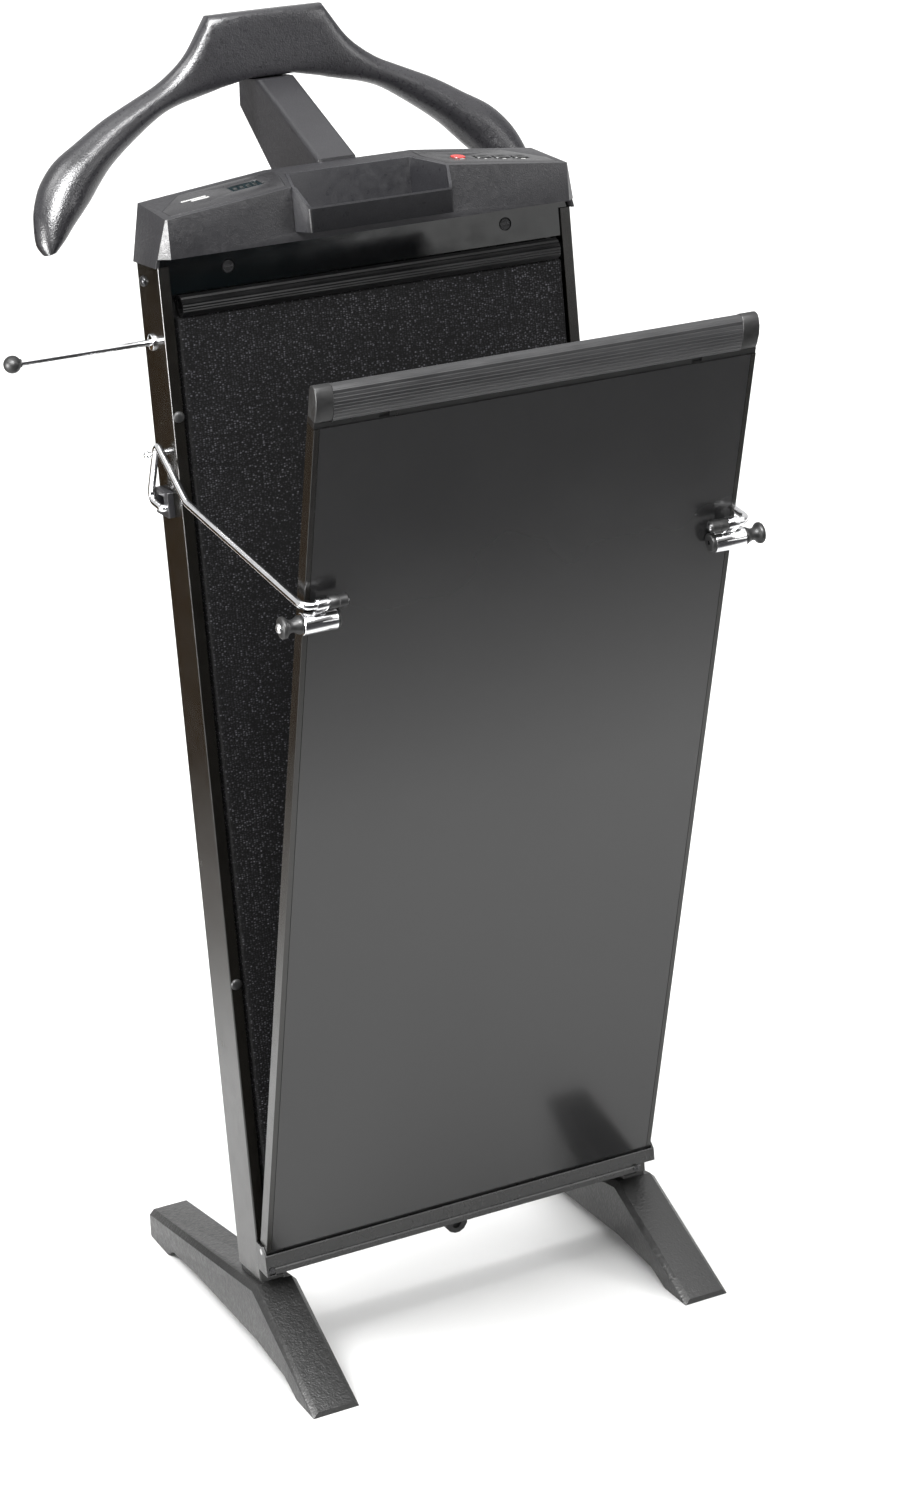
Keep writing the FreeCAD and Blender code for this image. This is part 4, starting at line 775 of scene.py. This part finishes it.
verts, faces = [], []
for j in range(NZ + 1):
    for i in range(NX + 1):
        x, z = ease(i, NX) * W2, ease(j, NZ) * H2
        # pull the corners round
        ex, ez = W2 - abs(x), H2 - abs(z)
        if ex < R and ez < R:
            dx, dz = R - ex, R - ez
            big = max(dx, dz)
            ln = math.hypot(dx, dz)
            if ln > 1e-9:
                k = big / ln
                x = math.copysign(W2 - R + dx * k, x)
                z = math.copysign(H2 - R + dz * k, z)
                d = R - big
            else:
                d = R
        else:
            d = min(ex, ez)
        e = max(0.0, min(R, d))
        y = R - math.sqrt(max(0.0, R * R - (R - e) ** 2))
        fx, fz = x / W2, z / H2
        crown = (1 - fx ** 4) * (1 - fz ** 8)
        wave = 0.00022 * math.sin(fz * 21 + 2.1 * math.sin(fx * 3.0)) * (abs(fx) ** 3) + 0.00016 * math.sin(fx * 17 + 1.3) * (abs(fz) ** 10)
        y -= 0.0011 * crown + wave * crown ** 0.2
        # the cover stands off a little at its top corners
        lift = max(0.0, (fz - 0.985) / 0.015) * max(0.0, (abs(fx) - 0.90) / 0.10)
        y -= 0.0013 * lift
        verts.append(Vector((cx + x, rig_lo.y + y, cz + z)))
for j in range(NZ):
    for i in range(NX):
        a = j * (NX + 1) + i
        faces.append((a, a + 1, a + NX + 2, a + NX + 1))
rim = [i for i in range(NX + 1)] + [(j + 1) * (NX + 1) - 1 for j in range(1, NZ + 1)] + [NZ * (NX + 1) + i for i in range(NX - 1, -1, -1)] + [j * (NX + 1) for j in range(NZ - 1, 0, -1)]
base = len(verts)
for r in rim:
    q = verts[r].copy()
    verts.append(Vector((q.x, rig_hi.y, q.z)))
nr = len(rim)
for k in range(nr):
    faces.append((rim[k], rim[(k + 1) % nr], base + (k + 1) % nr, base + k))
faces.append(tuple(base + k for k in range(nr)))
pad = piece("pad_cover", verts, faces, "pad", "frame", "pad_cloth", ["pad_fabric"], smooth=50.0)
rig.padded(pad, fill=0.9)

# ------------------------------------------------- arms, clips, rollers, knobs
tail = D(0, -17.7, 645.2)
ty = (tail.y - DY) * 1000
tz = tail.z * 1000
CY, CZ, RR = -13.8, 628.0, 7.2
for sg, side in ((-1, "left"), (1, "right")):
    route = [P(sg * 172.0, 22.5, 713.5), P(sg * 187, 22.5, 713.5), P(sg * 187, 50.0, 716.5), P(sg * 187, 20.5, 766.6), P(sg * 187, -38.0, 729.0), P(sg * 182.5, ty, tz), P(sg * 147.5, ty, tz)]
    path = smooth_path(route, [0.0035, 0.007, 0.007, 0.024, 0.0085])
    v, f = wire_mesh(path, 0.0030)
    wire = piece(side + "_stay_bar", v, f, "chrome", side + "_arm", "chrome", [side + "_stay_wire"], smooth=40)
    v, f = lathe([(3.02, 173.4), (3.7, 173.4), (3.9, 173.8), (3.9, 175.4), (3.7, 175.8), (3.02, 175.8)], P(0, 22.5, 713.5), (sg, 0, 0), n=32)
    collar = piece(side + "_stay_collar", v, f, "zinc", side + "_arm", "zinc_steel")
    sl = Matrix.Identity(3)
    v, f = lathe([(3.02, 149.0), (4.5, 149.0), (4.9, 149.5), (4.9, 155.6), (4.6, 155.9), (4.6, 156.5), (4.9, 156.8), (4.9, 162.4), (4.5, 163.0), (3.02, 163.0)], D(0, -17.7, 645.2), (sg, 0, 0), n=40)
    piece(side + "_end_sleeve", v, f, "soft", side + "_arm", "soft_black", [side + "_sleeve"])

    # clip: half shell round the roller with rolled lips, an eye round the bar and a riveted cheek
    arc_o, arc_i = [], []
    for k in range(41):
        a = math.radians(78 + 175 * k / 40)
        arc_o.append(Vector((CY + 8.3 * math.cos(a), CZ + 8.3 * math.sin(a))))
        arc_i.append(Vector((CY + 7.5 * math.cos(a), CZ + 7.5 * math.sin(a))))
    outline = arc_o + arc_i[::-1]
    place = lambda x, y, z: D(sg * x, y, z)
    v, f = prism(outline, 155.4, 180.5, place, 0.32)
    shell = piece(side + "_clip_shell", v, f, "chrome", side + "_clip_body", "chrome", [side + "_clip"], smooth=40)
    # cheek disc with its folded edge, the axle and its domed rivet head
    v, f = lathe([(0.01, 180.4), (7.7, 180.4), (8.2, 180.7), (8.2, 181.1), (7.8, 181.4), (0.01, 181.4)], D(0, CY, CZ), (sg, 0, 0), n=56)
    piece(side + "_clip_cheek", v, f, "chrome", side + "_clip_body", "chrome")
    v, f = lathe([(0.01, 152.0), (1.6, 152.0), (2.0, 152.4), (2.0, 198.2), (3.5, 198.2), (3.7, 198.6), (3.4, 199.5), (2.5, 200.2), (1.2, 200.55), (0.01, 200.6)], D(0, CY, CZ), (sg, 0, 0), n=32)
    piece(side + "_clip_axle", v, f, "zinc", side + "_clip_body", "chrome")
    # strap from the shell to the eye
    eye = []
    TY_, TZ_ = -17.7, 645.2
    strap = [(TY_ + 4.3 * math.cos(math.radians(a)), TZ_ + 4.3 * math.sin(math.radians(a))) for a in range(-62, 243, 9)]
    strap += [(TY_ - 1.9, TZ_ - 4.6), (CY - 3.2, CZ + 8.6), (CY - 2.2, CZ + 7.6), (CY + 1.6, CZ + 7.5), (CY + 1.6, CZ + 8.3)]
    v, f = prism(round_profile(strap, 3, 0.25), 164.0, 172.8, place, 0.25)
    piece(side + "_clip_eye", v, f, "chrome", side + "_clip_body", "chrome", smooth=40)
    # rubber roller
    v, f = lathe([(2.06, 152.0), (5.6, 152.0), (6.6, 152.3), (7.1, 153.0), (7.2, 154.0), (7.2, 166.0), (7.2, 179.4), (7.0, 180.0), (2.06, 180.1)], D(0, CY, CZ), (sg, 0, 0), n=56)
    piece(side + "_rubber_roller", v, f, "soft", side + "_roller_body", "soft_black", [side + "_roller"])
    # waisted knob
    x0 = 181.5
    prof = [(2.02, x0), (6.2, x0), (6.8, x0 + 0.4), (7.0, x0 + 1.4), (6.7, x0 + 2.6), (5.9, x0 + 4.2), (5.1, x0 + 5.8), (4.75, x0 + 7.2), (4.75, x0 + 8.6), (5.2, x0 + 10.0), (6.2, x0 + 11.4), (7.6, x0 + 12.6),
            (8.15, x0 + 13.4), (8.3, x0 + 14.4), (8.2, x0 + 15.4), (7.6, x0 + 16.2), (6.6, x0 + 16.6), (2.02, x0 + 16.6)]
    v, f = lathe(prof, D(0, CY, CZ), (sg, 0, 0), n=56)
    piece(side + "_waisted_knob", v, f, "soft", side + "_clip_body", "soft_black", [side + "_knob"], smooth=50)

# ------------------------------------------------------- small turned pieces
tl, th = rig.box("tie_bar_rod")
bx = -293.0
path = [P(-290.0, 30, 845), P(-200.0, 30, 845), P(-35.0, 30, 845)]
v, f = wire_mesh(path, 0.0026, 24)
piece("tie_bar_shaft", v, f, "chrome", "tie_bar", "chrome", ["tie_bar_rod"], smooth=40)
v, f = lathe([(2.62, -172), (4.3, -172), (4.6, -171.7), (4.6, -168.3), (4.3, -168), (2.62, -168)], P(0, 30, 845), (1, 0, 0), n=32)
piece("tie_bar_collar", v, f, "zinc", "tie_bar", "chrome")
prof = []
for k in range(33):
    a = math.pi * k / 32
    r, d = 7.0 * math.sin(a), bx - 7.0 * math.cos(a)
    prof.append((max(r, 0.01), d))
prof = [q for q in prof if not (q[1] > bx + 6.2)] + [(3.4, bx + 6.3), (3.3, bx + 7.2), (2.62, bx + 7.3)]
v, f = lathe(prof, P(0, 30, 845), (1, 0, 0), n=48)
piece("tie_bar_knob", v, f, "soft", "tie_bar", "soft_black", ["tie_bar_ball"], smooth=50)
v, f = lathe([(2.68, -180.7), (5.9, -180.7), (6.6, -180.3), (6.8, -179.6), (6.8, -178.5), (5.0, -178.5), (5.0, -172.2), (2.68, -172.2)], P(0, 30, 845), (1, 0, 0), n=48)
piece("tie_bar_washer", v, f, "chrome", "frame", "chrome", ["tie_bar_bush"])
first = True
for sg in (-1, 1):
    v, f = lathe([(0.01, 172.5), (2.4, 172.5), (2.4, 190.2), (3.2, 190.3), (3.45, 190.9), (3.4, 191.9), (2.9, 192.9), (1.9, 193.7), (0.9, 194.0), (0.01, 194.05)], P(0, 33.8, 755.5), (sg, 0, 0), n=36)
    o = piece("stop_pin_%s" % ("left" if sg < 0 else "right"), v, f, "chrome", "frame", "chrome", smooth=50)
    if sg < 0:
        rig.replaces(o, "stop_pins")
    v, f = lathe([(0.01, 172.6), (2.0, 172.6), (2.0, 178.5), (4.35, 178.5), (4.4, 178.8), (4.1, 179.7), (3.4, 180.6), (2.4, 181.2), (1.2, 181.45), (0.01, 181.5)], P(0, 36.5, 893), (sg, 0, 0), n=40)
    o = piece("dome_screw_%s" % ("left" if sg < 0 else "right"), v, f, "screw", "frame", "chrome", smooth=50)
    if sg < 0:
        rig.replaces(o, "side_dome_screws")
    for zz in (320.8, 788.7):
        v, f = lathe([(0.01, 3.2), (1.6, 3.2), (1.6, 0.0), (4.6, 0.0), (4.65, -0.3), (4.3, -1.0), (3.4, -1.6), (2.2, -1.9), (1.0, -2.0), (0.01, -2.02)], P(sg * 173.5, 0, zz), (0, 1, 0), n=36)
        o = piece("buffer_%s_%d" % ("left" if sg < 0 else "right", int(zz)), v, f, "soft", "frame", "soft_black", smooth=50)
        if sg < 0 and zz < 400:
            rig.replaces(o, "door_buffers")

# --------------------------------------------------- rounded moulded shells
soften("head_cover", "moulded", 0.0026, 4)
soften("tray", "tray", 0.0009, 3)
soften("left_foot", "feet", 0.0016, 3)
soften("right_foot", "feet", 0.0016, 3)
soften("bumper_end_caps", "soft", 0.0008, 2)
soften("window_brackets", "moulded", 0.0005, 2)
soften("mains_inlet", "soft", 0.0008, 3)
soften("display_plate", "plate", 0.0003, 2)
soften("control_plate", "plate", 0.0003, 2, merge=False)

# ------------------------------------------------------ buttons and markings
k_ = (964.5 - 952.5) / (172.0 - 64.0)
j_ = 7.3 / 66.0


def slope(sg, x, y):
    k = -sg * k_
    z = 964.5 + k * (x - sg * 64.0) - j_ * (52.0 - y)
    n = Vector((-k, -j_, 1)).normalized()
    ex = Vector((1, 0, k)).normalized()
    return Vector((x, y, z)), ex, n.cross(ex), n


def on_plate(sg):
    o, ex, ey, n = slope(sg, sg * 115.0, 19.0)

    def f(x, y, z):
        q = o + ex * x + ey * y + n * z
        return P(q.x, q.y, q.z)
    return f


right_plate = on_plate(1)
left_plate = on_plate(-1)


def button(name, body, slot, key, cx, cy, rx, ry, skew, top, dish, node):
    n = 44
    rings = []
    prof = [(0.80, -4.0), (1.0, -4.0), (1.0, top - 0.9), (0.985, top - 0.45), (0.93, top - 0.1), (0.86, top)]
    for sc, h in prof:
        rings.append((sc, h))
    for s in (0.7, 0.5, 0.3, 0.12):
        rings.append((s, top - dish * (1 - (s / 0.86) ** 2)))
    out = []
    for sc, h in rings:
        ring = []
        for k in range(n):
            a = 2 * math.pi * k / n
            x = rx * sc * math.copysign(abs(math.cos(a)) ** 0.8, math.cos(a))
            y = ry * sc * math.copysign(abs(math.sin(a)) ** 0.8, math.sin(a))
            ring.append(right_plate(cx + x + skew * y, cy + y, h))
        out.append(ring)
    v, f = tube(out)
    piece(name, v, f, key, body, slot, [node], smooth=50)


button("red_button", "power_key", "red_plastic", "red", -24.6, -0.9, 5.9, 5.6, 0.0, 1.1, 0.5, "power_button")
button("key_one", "short_key", "black_keys", "key", -4.3, -2.7, 6.3, 4.55, 0.12, 0.85, 0.75, "short_press_button")
button("key_two", "medium_key", "black_keys", "key", 11.9, -4.1, 6.3, 4.55, 0.12, 0.85, 0.75, "medium_press_button")
button("key_three", "long_key", "black_keys", "key", 28.1, -5.7, 6.3, 4.55, 0.12, 0.85, 0.75, "long_press_button")

# plain dots beside the keys and short bars in the window
for i, (mx, my, wx, wy) in enumerate(((-24.6, -9.6, 2.2, 0.7), (-4.3, -10.6, 1.0, 0.9), (11.9, -12.0, 1.6, 0.9), (28.1, -13.4, 2.2, 0.9), (-30.5, 8.5, 0.7, 0.7))):
    pts = round_profile([(mx - wx, my - wy, 0.4), (mx + wx, my - wy, 0.4), (mx + wx, my + wy, 0.4), (mx - wx, my + wy, 0.4)], 3)
    v, f = prism(pts, 0.10, 0.19, lambda h, x, y: right_plate(x, y, h), 0.02)
    piece("mark_%d" % i, v, f, "white" if i < 4 else "screw", "frame", "smooth_plate")
for i, (mx, my, wx) in enumerate(((-21.0, 3.6, 10.5), (-17.0, -0.6, 7.5))):
    pts = round_profile([(mx - wx, my - 1.5, 0.7), (mx + wx, my - 1.5, 0.7), (mx + wx, my + 1.5, 0.7), (mx - wx, my + 1.5, 0.7)], 4)
    v, f = prism(pts, 0.13, 0.24, lambda h, x, y: left_plate(x, y, h), 0.02)
    piece("plate_bar_%d" % i, v, f, "white", "frame", "smooth_plate")
for i in range(4):
    x0 = 12.6 + i * 5.6
    pts = vec2([(x0, 0.0), (x0 + 3.2, 0.0), (x0 + 4.0, 7.4), (x0 + 0.8, 7.4)])
    v, f = prism(pts, -0.50, -0.40, lambda h, x, y: left_plate(x, y, h), 0.02)
    piece("segment_%d" % i, v, f, "segment", "frame", "circuit")

# ------------------------------------------------------------ floor and light
sc = bpy.context.scene
m = Mat("floor_paper")
m.put(Specular_IOR_Level=0.2)
col = m.ramp(m.noise(1.4, 3.0), [(0.3, (0.86, 0.86, 0.855)), (0.7, (0.90, 0.90, 0.895))])
M["floor"] = m.done(col, m.ramp(m.noise(8.0), [(0.3, 0.5), (0.7, 0.6)]), m.bump(m.noise(300.0), 0.03, 0.0003))
me = bpy.data.meshes.new("floor")
S = 40.0
me.from_pydata([(-S, -S, 0), (S, -S, 0), (S, S, 0), (-S, S, 0)], [], [(0, 1, 2, 3)])
floor = bpy.data.objects.new("floor", me)
me.materials.append(M["floor"])
sc.collection.objects.link(floor)
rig.stage(floor)

# a bright room behind and above, a dark one in front
world = bpy.data.worlds.new("studio")
world.use_nodes = True
wt = world.node_tree
bg = wt.nodes["Background"]
wc = wt.nodes.new("ShaderNodeTexCoord")
ws = wt.nodes.new("ShaderNodeSeparateXYZ")
wt.links.new(wc.outputs["Generated"], ws.inputs[0])


def world_ramp(src, stops):
    r = wt.nodes.new("ShaderNodeValToRGB")
    el = r.color_ramp.elements
    while len(el) > 1:
        el.remove(el[-1])
    for i, (pos, v) in enumerate(stops):
        e = el[0] if i == 0 else el.new(pos)
        e.position = pos
        e.color = (v, v, v, 1)
    a = wt.nodes.new("ShaderNodeMath")
    a.operation = "MULTIPLY_ADD"
    a.inputs[1].default_value = 0.5
    a.inputs[2].default_value = 0.5
    wt.links.new(src, a.inputs[0])
    wt.links.new(a.outputs[0], r.inputs[0])
    return r.outputs[0]


back = world_ramp(ws.outputs[1], [(0.0, 0.015), (0.25, 0.05), (0.45, 0.35), (0.60, 0.85), (1.0, 1.0)])
side = world_ramp(ws.outputs[0], [(0.70, 0.0), (0.76, 0.30), (1.0, 0.45)])
high = world_ramp(ws.outputs[2], [(0.55, 0.0), (0.72, 0.45), (1.0, 1.0)])
wm = wt.nodes.new("ShaderNodeMix")
wm.data_type = "RGBA"
wm.blend_type = "LIGHTEN"
wm.inputs[0].default_value = 1.0
wt.links.new(back, wm.inputs[6])
wt.links.new(high, wm.inputs[7])
wn = wt.nodes.new("ShaderNodeMix")
wn.data_type = "RGBA"
wn.blend_type = "LIGHTEN"
wn.inputs[0].default_value = 1.0
wt.links.new(wm.outputs[2], wn.inputs[6])
wt.links.new(side, wn.inputs[7])
wt.links.new(wn.outputs[2], bg.inputs[0])
bg.inputs[1].default_value = 0.85
sc.world = world


def area(name, loc, target, size, power, color=(1, 1, 1), size_y=None):
    l = bpy.data.lights.new(name, "AREA")
    l.energy = power
    l.color = color
    l.shape = "RECTANGLE"
    l.size = size
    l.size_y = size_y or size
    o = bpy.data.objects.new(name, l)
    sc.collection.objects.link(o)
    o.location = loc
    o.rotation_euler = (Vector(target) - Vector(loc)).to_track_quat("-Z", "Y").to_euler()
    return o


left_box = area("left_box", (-2.9, -0.55, 0.66), (0, 0.05, 0.9), 1.3, 290, (1, 0.995, 0.99), 1.0)
left_box.visible_diffuse = False
area("right_fill", (2.4, -2.3, 1.8), (0, 0, 0.9), 1.2, 34, (1, 0.995, 0.99), 1.2)
top_box = area("front_top_box", (-0.7, -1.9, 2.5), (0, -0.1, 0.75), 1.6, 330, (1, 1, 1), 1.1)
top_box.visible_diffuse = False
sun = bpy.data.lights.new("sky", "SUN")
sun.energy = 2.3
sun.angle = 0.55
so = bpy.data.objects.new("sky", sun)
sc.collection.objects.link(so)
so.rotation_euler = Vector((0.62, 0.10, -1.0)).to_track_quat("-Z", "Y").to_euler()
sun2 = bpy.data.lights.new("overhead", "SUN")
sun2.energy = 2.0
sun2.angle = 1.5
so2 = bpy.data.objects.new("overhead", sun2)
sc.collection.objects.link(so2)
so2.rotation_euler = Vector((-0.12, 0.22, -1.0)).to_track_quat("-Z", "Y").to_euler()


def card(name, pts, stops, color, axis=1):
    """A dark panel of the studio that only polished surfaces see, fading in across its length."""
    m = Mat("card_" + name)
    for n in list(m.t.nodes):
        if n != m.co:
            m.t.nodes.remove(n)
    out = m.add("ShaderNodeOutputMaterial")
    dif = m.add("ShaderNodeBsdfDiffuse")
    tone = m.ramp(m.noise(1.1, 3.0), [(0.3, tuple(c * 0.7 for c in color)), (0.7, tuple(c * 1.3 for c in color))])
    m.link(tone, dif.inputs[0])
    tra = m.add("ShaderNodeBsdfTransparent")
    sep = m.add("ShaderNodeSeparateXYZ")
    m.link(m.co.outputs["Object"], sep.inputs[0])
    fac = m.ramp(m.math("MULTIPLY", m.math("ADD", sep.outputs[axis], 6.0), 1.0 / 12.0), stops)
    mx = m.add("ShaderNodeMixShader")
    m.link(fac, mx.inputs[0])
    m.link(tra.outputs[0], mx.inputs[1])
    m.link(dif.outputs[0], mx.inputs[2])
    m.link(mx.outputs[0], out.inputs[0])
    me = bpy.data.meshes.new(name)
    me.from_pydata(pts, [], [(0, 1, 2, 3)])
    o = bpy.data.objects.new(name, me)
    me.materials.append(m.m)
    sc.collection.objects.link(o)
    o.visible_camera = False
    o.visible_shadow = False
    o.visible_diffuse = False
    o.visible_transmission = False
    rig.stage(o)
    return o


def st(v):
    return (v + 6.0) / 12.0


card("front_card", [(-8.0, -5.9, 0.004), (2.3, -5.9, 0.004), (2.3, -0.30, 0.004), (-8.0, -0.30, 0.004)],
     [(st(-1.15), 1.0), (st(-0.72), 0.92), (st(-0.42), 0.0)], (0.03, 0.03, 0.032))
card("far_front_card", [(-20.0, -39.0, 0.004), (13.5, -39.0, 0.004), (2.3, -5.9, 0.004), (-8.0, -5.9, 0.004)],
     [(0.0, 1.0)], (0.03, 0.03, 0.032))
card("back_card", [(-6.0, 0.7, 0.004), (-0.30, 0.5, 0.004), (-0.30, 5.6, 0.004), (-6.0, 5.6, 0.004)],
     [(st(0.55), 0.0), (st(0.95), 0.7), (st(1.6), 1.0)], (0.046, 0.028, 0.0135))
card("back_wall_card", [(-6.0, 5.5, 0.0), (-0.9, 5.5, 0.0), (-0.9, 5.5, 1.7), (-6.0, 5.5, 1.7)],
     [(0.0, 1.0)], (0.011, 0.0095, 0.006))

# -------------------------------------------------------------------- camera
yaw, pitch, roll = math.radians(24.11), math.radians(10.39), math.radians(-4.81)
fwd = Vector((math.sin(yaw) * math.cos(pitch), math.cos(yaw) * math.cos(pitch), -math.sin(pitch)))
right = Vector((math.cos(yaw), -math.sin(yaw), 0))
up = right.cross(fwd)
r2 = right * math.cos(roll) + up * math.sin(roll)
u2 = right * -math.sin(roll) + up * math.cos(roll)
cam = bpy.data.cameras.new("camera")
cam.sensor_width = 36.0
cam.lens = 3278.51 * 36.0 / 1500.0
cam.shift_x = (459.0 - 476.36) / 1500.0
cam.shift_y = (338.68 - 750.0) / 1500.0
cam.clip_end = 120
co = bpy.data.objects.new("camera", cam)
sc.collection.objects.link(co)
loc = P(-980.96, -2382.22, 1289.95)
mat = Matrix(((r2.x, u2.x, -fwd.x, loc.x), (r2.y, u2.y, -fwd.y, loc.y), (r2.z, u2.z, -fwd.z, loc.z), (0, 0, 0, 1)))
co.matrix_world = mat
sc.camera = co
sc.view_settings.view_transform = "Standard"
sc.view_settings.look = "None"

json.dump({"cad": CAD_BOX, "visual": [list(v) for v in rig.bounds()]}, open("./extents.json", "w"))
